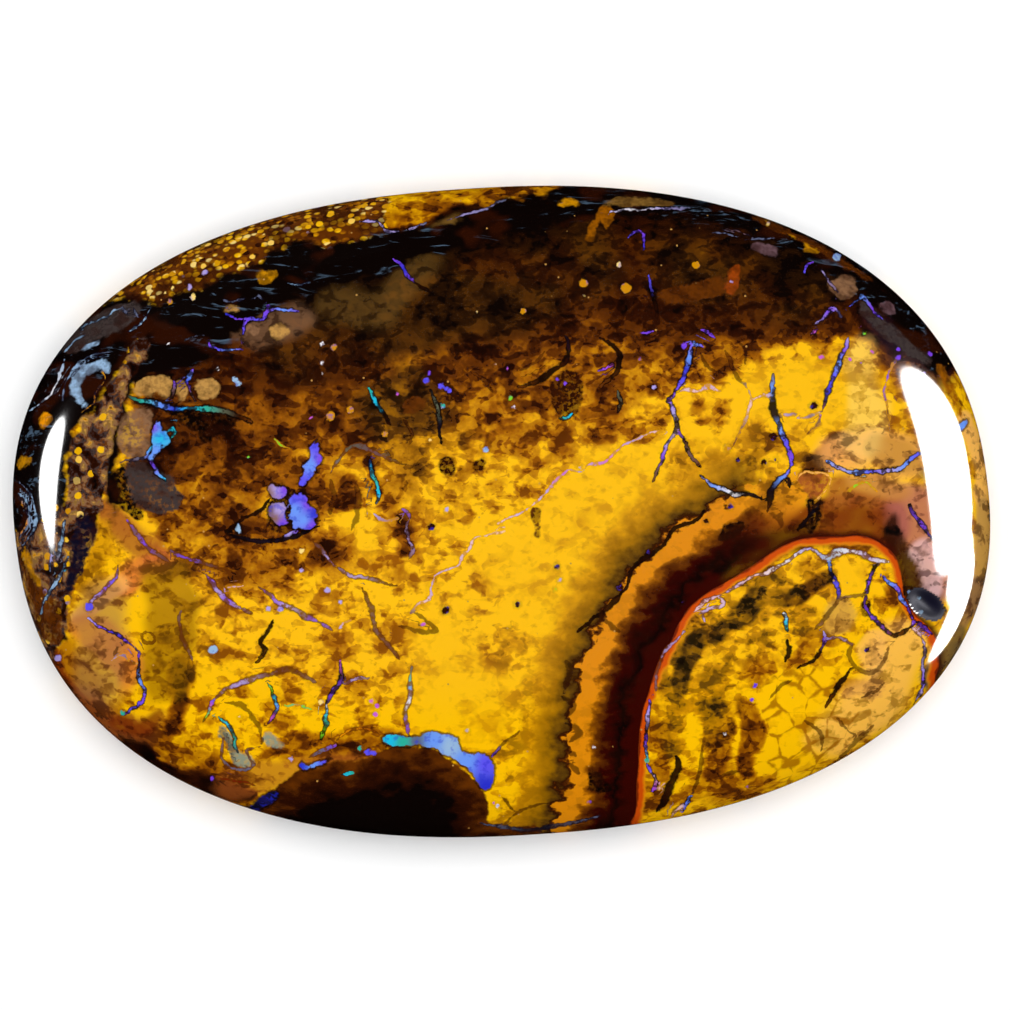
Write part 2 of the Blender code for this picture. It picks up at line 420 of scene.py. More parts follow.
# Crisp patches in the ground: colour, then outlines
patches = {
    "tan": [
        [(134, 388), (138, 380), (148, 376), (160, 375), (172, 380), (172, 390), (168, 396), (156, 394),
         (140, 396)],
        [(176, 386), (182, 382), (188, 390), (187, 399), (179, 400)],
        [(195, 382), (206, 377), (216, 380), (220, 389), (212, 398), (199, 397)],
        [(224, 309), (232, 306), (240, 308), (234, 313)],
        [(268, 327), (280, 325), (291, 331), (280, 338), (270, 334)],
    ],
    "mauveTan": [
        [(246, 327), (254, 325), (262, 330), (254, 336)],
        [(119, 448), (118, 430), (124, 416), (134, 409), (150, 410), (153, 420), (150, 434), (152, 446),
         (148, 454), (132, 459)],
        [(828, 283), (838, 276), (852, 279), (856, 290), (846, 298), (835, 294)],
    ],
    "mauve": [
        [(752, 245), (762, 243), (778, 250), (772, 256), (760, 252)],
        [(880, 304), (890, 303), (896, 311), (888, 316)],
    ],
    "slate": [
        [(62, 346), (80, 327), (100, 313), (124, 304), (142, 306), (132, 322), (112, 336), (97, 340),
         (76, 353)],
        [(124, 470), (136, 462), (150, 470), (170, 476), (182, 496), (176, 510), (160, 514), (142, 508),
         (130, 496)],
        [(858, 300), (872, 306), (880, 318), (896, 328), (912, 344), (930, 356), (926, 364), (900, 350),
         (876, 330), (862, 312)],
    ],
    "amber": [
        [(586, 238), (592, 222), (598, 207), (606, 205), (615, 210), (612, 222), (606, 230), (602, 222),
         (596, 228), (592, 240)],
        [(936, 368), (943, 368), (956, 392), (966, 420), (962, 424), (948, 396)],
    ],
    "rust": [
        [(726, 284), (730, 272), (738, 264), (739, 280), (734, 293), (728, 292)],
    ],
    "brown": [
        [(752, 217), (768, 220), (798, 234), (828, 250), (868, 276), (864, 278), (822, 254), (790, 237),
         (758, 222)],
        [(531, 509), (535, 507), (540, 514), (541, 530), (538, 539), (533, 532)],
        [(404, 402), (420, 396), (426, 404), (414, 414), (404, 412)],
        [(659, 292), (690, 284), (720, 277), (724, 294), (700, 300), (668, 304)],
        [(62, 620), (56, 600), (40, 585), (26, 560), (20, 566), (36, 620), (50, 644), (62, 640)],
    ],
    "gold": [
        [(258, 277), (262, 271), (270, 273), (275, 271), (276, 278), (268, 283), (260, 282)],
        [(760, 219), (768, 220), (775, 225), (766, 226)],
        [(786, 231), (794, 234), (800, 240), (790, 238)],
        [(803, 243), (813, 247), (818, 253), (806, 250)],
        [(828, 251), (837, 256), (840, 262), (830, 258)],
        [(556, 204), (566, 199), (578, 200), (575, 206), (562, 208)],
        [(18, 466), (22, 457), (30, 458), (28, 466), (22, 469)],
        [(22, 548), (29, 552), (34, 570), (42, 590), (36, 592), (26, 572)],
    ],
    "oliveTan": [
        [(604, 203), (625, 197), (650, 199), (672, 203), (650, 206), (620, 205)],
    ],
    "orange": [
        [(40, 420), (42, 412), (48, 411), (50, 418), (46, 425), (41, 426)],
    ],
    "sienna": [
        [(796, 479), (802, 472), (812, 474), (820, 473), (829, 478), (827, 487), (816, 499), (806, 493)],
    ],
    "agateBlue": [
        [(110, 372), (109, 364), (103, 359), (92, 362), (80, 367), (72, 376), (70, 386), (72, 396),
         (76, 403), (84, 409), (87, 406), (82, 398), (80, 388), (83, 379), (90, 372), (100, 368),
         (106, 372)],
        [(80, 346), (84, 341), (92, 341), (98, 345), (92, 348), (84, 349)],
    ],
    "greyTeal": [
        [(220, 736), (228, 742), (231, 756), (236, 764), (248, 768), (254, 762), (250, 754), (238, 752),
         (235, 742), (228, 730), (221, 728)],
        [(262, 736), (270, 732), (278, 740), (284, 746), (276, 748), (266, 744)],
    ],
    "blackBlue": [
        [(66, 586), (70, 560), (72, 536), (78, 518), (90, 514), (96, 528), (90, 552), (82, 572),
         (72, 590)],
    ],
    "black": [
        [(718, 538), (722, 528), (731, 523), (744, 522), (744, 529), (733, 537), (723, 541)],
        [(588, 772), (600, 775), (612, 790), (604, 794), (590, 788)],
        [(903, 588), (913, 586), (925, 592), (936, 602), (948, 610), (936, 619), (920, 615), (908, 604)],
        [(806, 500), (812, 498), (822, 502), (820, 520), (812, 534), (806, 526)],
        [(882, 528), (892, 524), (902, 531), (898, 538), (888, 538)],
        [(134, 402), (160, 400), (200, 410), (236, 414), (232, 428), (204, 436), (186, 424), (160, 410)],
        [(198, 432), (210, 426), (214, 438), (204, 444)],
        [(110, 478), (120, 462), (128, 470), (130, 496), (144, 512), (136, 520), (118, 508), (108, 500)],
        [(156, 480), (164, 478), (166, 488), (158, 490)],
    ],
    "darkBrown": [
        [(566, 368), (556, 374), (550, 388), (552, 404), (560, 416), (570, 418), (580, 408), (584, 392),
         (578, 374)],
        [(422, 362), (430, 364), (440, 372), (452, 386), (458, 400), (450, 400), (438, 386), (426, 374)],
        [(268, 528), (270, 502), (284, 488), (300, 494), (312, 508), (320, 520), (312, 530), (290, 536)],
        [(440, 462), (447, 458), (455, 462), (454, 474), (446, 477), (438, 472)],
        [(474, 462), (480, 459), (485, 464), (481, 470), (475, 469)],
        [(862, 604), (868, 602), (871, 612), (868, 621), (863, 616)],
    ],
}

# Bright opal: outline, then colours with where each is strongest
gems = {
    "crescent": {
        "outline": [
            (382, 740), (385, 736), (396, 735), (408, 737), (420, 737), (428, 732), (440, 734),
            (456, 738), (461, 750), (470, 755), (479, 753), (488, 757), (493, 764), (494, 774),
            (491, 786), (486, 790), (480, 786), (475, 777), (467, 768), (458, 761), (450, 757),
            (443, 755), (437, 748), (425, 748), (419, 744), (410, 746), (395, 746), (386, 744),
        ],
        "colours": [
            ("cyan", (388, 741)), ("teal", (404, 742)), ("greyBlue", (416, 741)),
            ("skyBlue", (434, 741)), ("agateBlue", (450, 746)), ("skyBlue", (466, 760)),
            ("blueViolet", (486, 764)), ("deepBlue", (487, 787)),
        ],
    },
    "bigCrystal": {
        "outline": [
            (289, 500), (294, 493), (299, 497), (302, 493), (307, 500), (306, 505), (313, 508),
            (318, 516), (314, 520), (316, 526), (306, 530), (300, 526), (294, 529), (293, 521),
            (288, 516), (291, 508),
        ],
        "colours": [
            ("blueViolet", (297, 497)), ("skyBlue", (296, 510)), ("violet", (308, 504)),
            ("skyBlue", (304, 520)), ("deepBlue", (314, 514)), ("violet", (312, 526)),
        ],
    },
    "upperCrystal": {
        "outline": [
            (316, 440), (319, 444), (318, 452), (322, 460), (317, 466), (314, 474), (308, 480),
            (302, 486), (299, 483), (304, 472), (303, 466), (308, 462), (311, 453), (309, 448),
            (313, 445),
        ],
        "colours": [("blueViolet", (317, 444)), ("violet", (320, 460)), ("skyBlue", (311, 464)),
                    ("blueViolet", (302, 483))],
    },
    "paleCrystal": {
        "outline": [(268, 512), (272, 504), (282, 502), (286, 508), (284, 516), (288, 522), (280, 525),
                    (272, 520)],
        "colours": [("mauve", (270, 510)), ("lavender", (278, 510)), ("violet", (284, 524)),
                    ("mauveTan", (274, 518))],
    },
    "stubCrystal": {
        "outline": [(268, 486), (274, 485), (279, 489), (284, 486), (285, 496), (278, 498), (271, 496)],
        "colours": [("mauveTan", (270, 492)), ("lavender", (276, 490)), ("violet", (283, 490))],
    },
    "whiteTip": {
        "outline": [(235, 528), (238, 523), (241, 532), (238, 534)],
        "colours": [("agateBlue", (238, 529))],
    },
    "leftBlue": {
        "outline": [
            (152, 431), (155, 424), (158, 420), (161, 424), (162, 430), (166, 430), (168, 435),
            (170, 441), (164, 446), (161, 444), (160, 450), (155, 455), (151, 460), (149, 456),
            (154, 448), (153, 440),
        ],
        "colours": [("violet", (153, 427)), ("skyBlue", (160, 424)), ("cyan", (160, 438)),
                    ("skyBlue", (155, 452))],
    },
    "pocketBlue": {
        "outline": [(299, 767), (301, 762), (307, 765), (314, 763), (320, 762), (328, 760), (322, 764),
                    (314, 767), (305, 770)],
        "colours": [("deepBlue", (300, 767)), ("skyBlue", (312, 765)), ("blueViolet", (326, 761))],
    },
    "cornerBlue": {
        "outline": [(246, 810), (254, 803), (264, 795), (275, 791), (279, 795), (272, 803), (262, 808),
                    (252, 814)],
        "colours": [("blackBlue", (255, 808)), ("navy", (264, 800)), ("blackBlue", (276, 796))],
    },
    "slantBlue": {
        "outline": [(956, 429), (959, 423), (967, 419), (966, 425), (962, 430)],
        "colours": [("skyBlue", (963, 425))],
    },
}

# Veins by look: core colour, edge colour, half-width in pixels, then routes
veins = {
    "black": [
        (2.6, "violet deepBlue violet", [(393, 259), (399, 262), (403, 268), (407, 275), (413, 281)]),
        (1.6, "darkBrown black", [(413, 281), (424, 289), (434, 294)]),
        (2.6, "deepBlue violet blueViolet violet skyBlue violet", [
            (226, 314), (233, 317), (240, 320), (248, 319), (262, 319), (267, 312), (274, 309),
            (286, 310), (299, 311),
        ]),
        (2.2, "violet blueViolet", [(247, 320), (244, 326), (243, 334)]),
        (1.8, "violet", [(267, 312), (268, 304)]),
        (2.4, "violet blueViolet skyBlue violet", [
            (209, 341), (212, 347), (218, 350), (228, 351), (236, 350), (243, 350),
        ]),
        (1.4, "greyBlue black", [(184, 340), (200, 336), (214, 336)]),
        (3.2, "violet skyBlue deepBlue", [(193, 370), (190, 376), (187, 382)]),
        (2.6, "violet mauve darkBrown", [(174, 380), (174, 389), (171, 397)]),
        (2.6, "violet mauve darkBrown", [(188, 384), (191, 392), (196, 401)]),
        (4.4, "darkBrown teal skyBlue deepBlue cyan teal greyGreen darkBrown brown", [
            (128, 396), (140, 401), (152, 402), (164, 406), (178, 409), (190, 408), (206, 409),
            (224, 411), (240, 417), (252, 423),
        ]),
        (3.0, "cyan skyBlue violet deepBlue", [(153, 446), (148, 454), (152, 464), (156, 470)]),
        (3.4, "violet skyBlue cyan", [(155, 467), (159, 474), (166, 480)]),
        (2.0, "cyan teal", [(166, 432), (173, 428), (174, 434), (168, 442)]),
        (3.4, "teal cyan black darkBrown", [
            (369, 388), (372, 394), (376, 402), (381, 410), (386, 417), (390, 425),
        ]),
        (3.4, "blackBlue greyGreen blackBlue black", [
            (430, 390), (434, 398), (438, 408), (440, 420), (439, 432), (441, 442),
        ]),
        (3.2, "blackBlue darkBrown black brown", [
            (566, 336), (569, 346), (567, 356), (561, 366), (552, 371), (543, 378), (530, 384),
            (517, 387),
        ]),
        (3.0, "darkBrown black brown", [
            (600, 338), (612, 345), (620, 356), (618, 368), (611, 378), (600, 387),
        ]),
        (1.8, "violet magenta", [(598, 371), (606, 367), (613, 364)]),
        (3.0, "greyGreen darkBrown", [(617, 390), (620, 402), (619, 412)]),
        (2.8, "teal cyan", [(559, 418), (566, 418), (573, 413)]),
        (2.6, "blueViolet violet deepBlue", [(628, 238), (633, 233), (640, 232), (644, 239), (644, 250)]),
        (2.4, "blueViolet black darkBrown", [(649, 274), (650, 283), (653, 296), (656, 308), (657, 318)]),
        (2.2, "violet", [(701, 330), (708, 333), (714, 337)]),
        (1.8, "violet", [(641, 333), (647, 333), (653, 331)]),
        (2.2, "violet skyBlue violet", [(686, 342), (692, 341), (697, 344), (704, 347)]),
        (2.4, "blueViolet violet", [(804, 272), (808, 265), (813, 262)]),
        (2.4, "blueViolet skyBlue violet blueViolet", [
            (850, 307), (857, 300), (862, 296), (868, 303), (875, 312), (883, 319),
        ]),
        (2.2, "magenta", [(810, 334), (818, 329)]),
        (3.8, "violet skyBlue deepBlue blueViolet violet darkBrown", [
            (691, 344), (690, 352), (688, 362), (686, 370), (682, 380), (677, 389), (671, 397),
            (668, 403),
        ]),
        (3.2, "violet lavender black palePink", [
            (671, 400), (673, 408), (676, 417), (677, 427), (674, 434),
        ]),
        (2.8, "darkBrown lavender violet mauve brown", [
            (675, 430), (671, 438), (667, 446), (664, 455), (660, 465), (656, 473), (652, 482),
        ]),
        (2.4, "violet darkBrown mauve brown", [
            (677, 428), (681, 436), (685, 443), (688, 450), (694, 459), (701, 467),
        ]),
        (3.2, "lavender skyBlue white blackBlue black", [
            (700, 475), (706, 480), (711, 485), (717, 488), (723, 489), (729, 492), (736, 495),
            (742, 494), (752, 495), (763, 499),
        ]),
        (3.8, "mauve skyBlue black blackBlue skyBlue blueViolet violet blueViolet", [
            (773, 374), (773, 386), (772, 398), (774, 410), (777, 420), (781, 431), (785, 440),
            (789, 450), (791, 460), (791, 469),
        ]),
        (3.4, "violet skyBlue blackBlue black brown", [
            (791, 468), (785, 475), (779, 481), (773, 488), (770, 496), (770, 504), (767, 513),
        ]),
        (2.4, "blackBlue darkBrown", [(785, 474), (788, 480), (790, 488)]),
        (3.6, "lavender violet skyBlue blueViolet deepBlue black magenta", [
            (848, 337), (845, 348), (841, 357), (838, 366), (834, 376), (830, 386), (826, 398),
            (823, 408), (821, 416),
        ]),
        (3.8, "skyBlue lavender skyBlue blueViolet lavender skyBlue blueViolet skyBlue", [
            (825, 460), (834, 465), (842, 469), (850, 472), (860, 472), (870, 471), (880, 472),
            (890, 471), (900, 469), (906, 465), (911, 460), (918, 455), (926, 452), (933, 448),
        ]),
        (3.4, "deepBlue cyan teal cyan greyBlue", [
            (370, 459), (371, 466), (373, 474), (377, 484), (379, 494), (376, 504),
        ]),
        (2.6, "black darkBrown black", [(225, 532), (236, 524), (248, 516), (262, 510), (270, 498)]),
        (2.6, "black blackBlue black", [
            (225, 532), (240, 538), (258, 541), (274, 541), (288, 539), (300, 534), (318, 526),
        ]),
        (1.8, "blueViolet lavender violet", [(281, 537), (288, 534), (297, 530)]),
        (2.6, "lavender violet deepBlue violet mauve", [
            (88, 618), (95, 624), (104, 629), (115, 634), (122, 639), (129, 643), (135, 648), (140, 653),
        ]),
        (2.8, "violet black skyBlue violet blueViolet brown", [
            (138, 652), (139, 662), (138, 672), (140, 681), (144, 690), (144, 697), (140, 704),
            (132, 709), (121, 715),
        ]),
        (2.6, "darkBrown black brown", [
            (273, 620), (269, 630), (264, 636), (261, 642), (265, 649), (262, 656), (254, 664),
        ]),
        (2.8, "teal green black cyan skyBlue black magenta brown", [
            (267, 683), (271, 688), (272, 695), (275, 700), (277, 706), (276, 711), (273, 717),
            (268, 724),
        ]),
        (3.0, "magenta black violet black", [
            (340, 660), (341, 668), (341, 679), (337, 686), (333, 692), (329, 698), (326, 704),
        ]),
        (3.2, "white cyan teal black green black", [
            (326, 706), (327, 713), (325, 719), (327, 724), (324, 730), (320, 740),
        ]),
        (3.0, "teal cyan black teal greyBlue", [
            (219, 717), (226, 723), (231, 729), (234, 737), (235, 745), (238, 752),
        ]),
        (1.8, "cyan teal", [(342, 775), (348, 774), (354, 773)]),
        (2.6, "violet mauve", [(491, 757), (495, 753), (500, 748)]),
        (3.0, "black darkBrown", [
            (705, 510), (695, 521), (682, 525), (672, 531), (665, 544), (651, 555), (640, 561),
            (632, 570), (628, 584), (616, 600), (604, 611), (590, 621), (578, 632),
        ]),
        (3.0, "black blackBlue", [(798, 530), (808, 518), (821, 501)]),
        (3.0, "black violet black", [(909, 505), (915, 515), (922, 525), (933, 540)]),
        (3.2, "skyBlue black blueViolet darkBrown", [
            (828, 559), (830, 568), (833, 577), (836, 583), (838, 592), (838, 599),
        ]),
        (3.0, "black violet black darkBrown", [
            (866, 594), (868, 583), (871, 574), (876, 566), (880, 560),
        ]),
        (2.8, "darkBrown violet brown darkBrown", [
            (866, 594), (865, 604), (869, 612), (875, 620), (884, 629), (892, 635), (900, 634),
            (908, 629), (914, 625),
        ]),
        (2.8, "blueViolet skyBlue violet skyBlue blueViolet", [
            (883, 576), (890, 583), (896, 587), (899, 594), (902, 601), (908, 608),
        ]),
        (2.6, "darkBrown violet", [(903, 600), (907, 608), (911, 616), (914, 625)]),
        (2.4, "violet darkBrown black brown", [
            (825, 634), (822, 648), (817, 657), (806, 665), (796, 669),
        ]),
        (2.8, "darkBrown black brown", [
            (850, 668), (846, 676), (840, 684), (834, 693), (829, 701), (825, 708),
        ]),
        (3.0, "white cyan teal", [(783, 612), (786, 620), (787, 631)]),
        (3.8, "black darkBrown", [(787, 640), (789, 650), (785, 661)]),
        (3.2, "blackBlue violet", [(916, 620), (924, 627), (931, 634)]),
        (2.6, "lavender darkBrown lavender violet lavender mauve", [
            (922, 640), (925, 650), (923, 662), (923, 673), (924, 683), (921, 693), (913, 705),
        ]),
        (4.6, "black darkBrown black", [
            (676, 756), (678, 766), (674, 777), (670, 788), (665, 800), (657, 812),
        ]),
        (2.8, "blueViolet skyBlue", [(682, 812), (688, 803), (692, 796)]),
        (2.6, "violet lavender black violet teal", [
            (650, 700), (648, 712), (647, 722), (646, 735), (646, 748), (647, 760),
        ]),
        (2.8, "violet blueViolet palePink magenta violet", [
            (647, 764), (650, 771), (655, 778), (656, 785), (651, 792),
        ]),
    ],
    "darkBrown": [
        (4.0, "brown darkBrown", [(356, 484), (358, 500), (356, 518), (351, 530)]),
        (4.0, "brown darkBrown", [(330, 480), (334, 496), (330, 514)]),
        (2.4, "brown darkBrown", [(725, 350), (732, 366), (741, 382)]),
        (2.2, "greyGreen darkBrown", [(384, 448), (388, 454), (394, 461), (407, 465)]),
        (2.8, "violet mauve lavender maroon", [
            (402, 509), (410, 517), (406, 527), (408, 536), (410, 543), (413, 550), (408, 559),
        ]),
        (2.6, "brown darkBrown brown", [
            (416, 613), (426, 620), (437, 631), (422, 632), (408, 628), (399, 626),
        ]),
        (2.8, "brown darkBrown brown", [
            (224, 703), (234, 703), (243, 706), (250, 713), (256, 722), (260, 732), (263, 743),
        ]),
        (1.6, "darkBrown brown", [(500, 747), (506, 741), (512, 737), (521, 730)]),
        (1.8, "darkBrown", [(502, 797), (507, 803), (513, 810)]),
        (1.8, "brown darkBrown", [(504, 825), (511, 818), (520, 811), (535, 805), (552, 803)]),
        (4.0, "black darkBrown", [(566, 661), (570, 672), (565, 688)]),
        (3.6, "black darkBrown", [(562, 697), (574, 706), (566, 715)]),
        (3.4, "black", [(565, 722), (580, 732), (570, 741)]),
        (3.0, "black", [(568, 750), (576, 757)]),
        (3.0, "black", [(570, 764), (579, 773)]),
        (2.8, "darkBrown mauve darkBrown", [(838, 598), (848, 597), (857, 595), (866, 594)]),
        (2.6, "brown darkBrown mauve", [(838, 600), (832, 609), (824, 619), (815, 629)]),
        (2.4, "brown darkBrown brown", [
            (853, 643), (849, 654), (852, 663), (860, 670), (870, 674), (879, 668), (885, 658),
            (889, 647),
        ]),
        (2.4, "darkBrown brown", [(861, 698), (870, 693), (878, 690), (884, 683)]),
        (2.4, "brown darkBrown", [(805, 721), (814, 727), (820, 732), (822, 741), (820, 752)]),
        (2.0, "brown", [(837, 719), (845, 728), (857, 737)]),
        (2.6, "brown darkBrown brown", [(874, 725), (866, 733), (858, 740), (846, 752), (832, 767)]),
        (2.0, "brown darkBrown", [(769, 699), (775, 691), (781, 685), (792, 680)]),
        (2.6, "brown darkBrown", [(704, 738), (702, 755), (700, 772), (693, 792)]),
        (2.2, "brown darkBrown", [(716, 778), (727, 774), (740, 771)]),
        (2.2, "darkBrown olive", [(817, 500), (815, 510), (813, 524)]),
        (3.2, "black darkBrown", [(601, 617), (610, 624), (619, 632)]),
        (2.4, "black brown", [(118, 648), (114, 656)]),
        (2.0, "brown darkBrown", [(545, 350), (536, 362), (520, 370)]),
        (2.2, "brown darkBrown", [(470, 372), (484, 380), (492, 392)]),
        (2.2, "darkBrown brown", [(640, 300), (628, 312), (622, 326)]),
        (1.8, "darkBrown brown", [(700, 352), (706, 366), (716, 372)]),
        (2.0, "darkBrown", [(738, 340), (746, 352), (744, 364)]),
        (2.0, "darkBrown brown", [(404, 420), (412, 432), (410, 444)]),
    ],
    "brown": [
        (2.6, "greyBlue greyGreen mauve brown", [
            (330, 474), (334, 466), (340, 458), (347, 450), (355, 446), (362, 446), (370, 450),
            (378, 454), (388, 458), (397, 464),
        ]),
        (2.8, "brown mauve lavender brown", [(313, 542), (320, 548), (327, 556), (334, 567)]),
        (3.2, "violet mauve violet mauve brown", [
            (128, 519), (132, 527), (137, 534), (143, 542), (150, 549), (160, 556), (171, 562),
        ]),
        (3.0, "mauve violet mauve brown darkBrown", [
            (171, 551), (185, 558), (200, 562), (212, 566), (224, 570), (235, 574),
        ]),
        (3.4, "mauve violet lavender violet lavender brown", [
            (199, 570), (207, 576), (213, 583), (218, 592), (226, 600), (233, 604), (241, 608),
            (252, 614),
        ]),
        (3.6, "mauve violet lavender mauve violet mauve", [
            (259, 587), (270, 595), (279, 602), (288, 607), (298, 611), (306, 617), (315, 620),
            (325, 625), (333, 631),
        ]),
        (2.4, "darkBrown blueViolet violet lavender violet", [
            (118, 566), (117, 576), (113, 582), (106, 587), (98, 595), (91, 602), (88, 610),
        ]),
        (2.2, "mauve brown mauve", [
            (181, 610), (178, 618), (180, 628), (182, 638), (188, 650), (193, 662),
        ]),
        (1.8, "olive brown olive", [
            (141, 634), (148, 632), (154, 637), (152, 643), (144, 642), (141, 634),
        ]),
        (2.6, "mauve lavender mauve brown", [
            (337, 566), (345, 573), (352, 576), (362, 577), (378, 581), (397, 586),
        ]),
        (3.0, "brown mauve brown", [
            (363, 588), (368, 600), (372, 611), (373, 621), (377, 631), (384, 640), (392, 650),
            (400, 659),
        ]),
        (3.4, "mauve brown mauve lavender mauve", [
            (315, 682), (306, 677), (298, 673), (288, 669), (278, 672), (266, 675), (255, 678),
            (244, 682), (233, 686), (224, 691), (216, 698),
        ]),
        (2.6, "blueViolet magenta teal green darkBrown", [
            (214, 701), (210, 708), (208, 714), (203, 722),
        ]),
        (2.2, "mauve lavender mauve", [(343, 684), (352, 680), (360, 678), (369, 678)]),
        (3.6, "mauve teal skyBlue white greyBlue violet brown", [
            (412, 667), (410, 680), (411, 688), (410, 698), (406, 710), (406, 720), (409, 737),
        ]),
        (2.2, "mauve greyBlue mauve", [
            (224, 739), (221, 750), (224, 762), (234, 769), (247, 770), (253, 765), (249, 756),
            (248, 749), (263, 747),
        ]),
        (3.2, "mauve greyBlue violet", [(308, 758), (317, 753), (326, 749), (335, 745)]),
        (1.6, "brick", [(219, 777), (233, 781), (245, 783), (256, 786)]),
        (1.8, "orange rust", [(334, 743), (343, 734), (355, 729), (368, 729), (381, 736)]),
        (2.0, "rust brown", [(903, 381), (909, 377), (908, 384), (905, 392), (908, 403)]),
        (2.6, "mauve lavender", [(656, 690), (656, 678), (658, 668), (664, 653), (672, 644), (685, 632)]),
        (2.4, "palePink lavender", [
            (693, 613), (700, 605), (712, 598), (720, 597), (723, 605), (712, 608), (703, 612),
            (704, 621),
        ]),
        (2.8, "lavender palePink white lavender", [
            (723, 594), (735, 587), (745, 581), (755, 576), (764, 574), (775, 568), (785, 563),
            (793, 556), (805, 549), (812, 548),
        ]),
        (4.8, "lavender agateBlue white lavender white", [
            (811, 549), (820, 554), (827, 558), (836, 552), (848, 550), (860, 552), (868, 556),
            (876, 560), (888, 562),
        ]),
        (2.2, "lavender mauve lavender", [(823, 631), (827, 638), (836, 637), (846, 640), (853, 644)]),
        (2.4, "palePink lavender", [(911, 625), (920, 636), (926, 646)]),
        (2.2, "palePink", [(671, 816), (677, 809), (685, 804)]),
    ],
    "gold": [
        (2.4, "lavender palePink lavender palePink", [
            (676, 393), (681, 391), (687, 389), (695, 391), (703, 390), (707, 385), (713, 388),
            (721, 391),
        ]),
        (2.0, "mauve palePink mauve brown", [
            (744, 383), (749, 391), (752, 398), (750, 407), (746, 419), (741, 430), (736, 440),
            (731, 450),
        ]),
        (2.2, "palePink lavender", [(753, 399), (763, 396), (773, 394)]),
        (2.4, "lavender mauve", [(783, 414), (790, 415), (798, 414)]),
        (2.6, "lavender mauve white", [(798, 418), (807, 417), (816, 413), (824, 411)]),
        (2.2, "mauve brown", [(821, 416), (817, 425), (807, 435)]),
        (2.0, "palePink lavender magenta lavender", [
            (659, 431), (648, 434), (640, 438), (630, 442), (619, 448), (612, 455), (605, 462),
            (596, 464), (590, 464), (582, 471),
        ]),
        (2.0, "lavender magenta lavender palePink", [
            (582, 472), (573, 470), (566, 471), (560, 477), (552, 485), (545, 493), (538, 500),
            (529, 508),
        ]),
        (2.0, "lavender palePink", [(528, 508), (522, 513), (512, 516), (505, 519), (497, 524)]),
        (1.8, "palePink lavender", [
            (504, 531), (490, 535), (480, 536), (473, 540), (470, 548), (462, 556), (458, 565),
            (448, 570), (436, 575), (431, 589),
        ]),
        (2.4, "lavender palePink mauve", [(431, 589), (430, 597), (425, 602), (417, 604), (411, 613)]),
        (1.8, "lavender palePink", [(227, 588), (236, 587), (244, 585)]),
        (2.0, "lavender palePink", [(339, 629), (344, 623), (351, 619)]),
        (2.0, "lavender mauve", [(373, 514), (381, 520), (390, 521), (400, 518)]),
        (1.8, "lavender mauve", [(111, 661), (118, 656), (124, 656), (129, 661)]),
        (1.6, "mauve violet brown mauve", [
            (896, 358), (890, 370), (885, 385), (884, 394), (887, 405), (889, 418), (890, 433),
        ]),
        (1.6, "green", [(275, 439), (281, 445), (291, 449)]),
        (1.6, "green teal green", [(283, 705), (294, 705), (302, 706), (312, 709)]),
        (1.6, "green", [(848, 492), (854, 486), (863, 482)]),
        (1.6, "green orange", [(862, 480), (870, 485), (877, 492)]),
        (1.6, "paleOrange", [
            (797, 481), (801, 474), (808, 471), (814, 474), (820, 472), (828, 475), (831, 481),
            (826, 490), (815, 501),
        ]),
        (2.0, "palePink", [(657, 790), (666, 783)]),
    ],
    "blackBlue": [
        (2.2, "lavender", [(359, 222), (368, 221), (376, 221), (382, 226), (386, 231), (399, 231)]),
        (2.0, "lavender greyBlue", [(408, 229), (418, 226), (427, 223)]),
        (1.8, "lavender greyBlue", [(447, 220), (460, 216), (476, 211), (490, 206), (507, 199)]),
        (1.8, "lavender white lavender greyBlue", [
            (607, 217), (611, 212), (618, 212), (627, 209), (640, 210), (655, 208), (675, 209),
            (692, 207),
        ]),
        (1.2, "greyBlue", [(711, 233), (725, 234), (737, 236)]),
        (1.2, "mauve", [(724, 228), (738, 231), (751, 237)]),
        (1.2, "greyBlue", [(744, 240), (760, 239), (776, 238)]),
        (1.8, "agateBlue", [(152, 307), (147, 315), (141, 323), (136, 327), (128, 331)]),
        (1.2, "greyBlue", [(122, 306), (124, 312), (129, 316)]),
        (1.2, "greyBlue", [(133, 307), (135, 312), (138, 318)]),
        (1.6, "agateBlue white agateBlue", [
            (64, 359), (63, 368), (60, 374), (55, 386), (52, 392), (42, 402), (30, 411),
        ]),
        (1.4, "greyBlue agateBlue greyBlue", [
            (113, 352), (98, 353), (88, 357), (75, 366), (68, 378), (64, 390), (62, 403),
        ]),
        (1.2, "agateBlue greyBlue", [(111, 357), (98, 357), (88, 361), (78, 368), (70, 379)]),
        (1.4, "gold amber gold", [
            (102, 371), (105, 378), (103, 384), (98, 388), (95, 394), (94, 402), (82, 413),
        ]),
        (1.8, "greyBlue agateBlue greyBlue", [
            (17, 481), (26, 488), (32, 498), (36, 512), (34, 528), (26, 542), (17, 549),
        ]),
        (1.6, "orange", [(21, 503), (26, 512), (27, 522), (21, 533)]),
        (2.2, "agateBlue greyBlue", [(19, 493), (27, 502), (30, 514), (28, 526), (19, 539)]),
        (1.6, "lavender mauve", [(821, 269), (828, 280), (839, 293)]),
        (2.0, "lavender violet lavender", [
            (814, 324), (822, 318), (828, 311), (833, 307), (838, 312), (842, 317),
        ]),
        (1.6, "greyBlue mauve", [(150, 457), (140, 459), (130, 460), (119, 462)]),
        (2.4, "greyBlue black greyBlue", [
            (479, 822), (500, 827), (530, 830), (555, 826), (585, 820), (601, 815),
        ]),
        (1.4, "greyBlue", [(250, 300), (258, 296), (262, 300)]),
        (1.2, "greyBlue", [(222, 300), (232, 302), (246, 298)]),
        (1.2, "steel", [(285, 283), (300, 285), (312, 282)]),
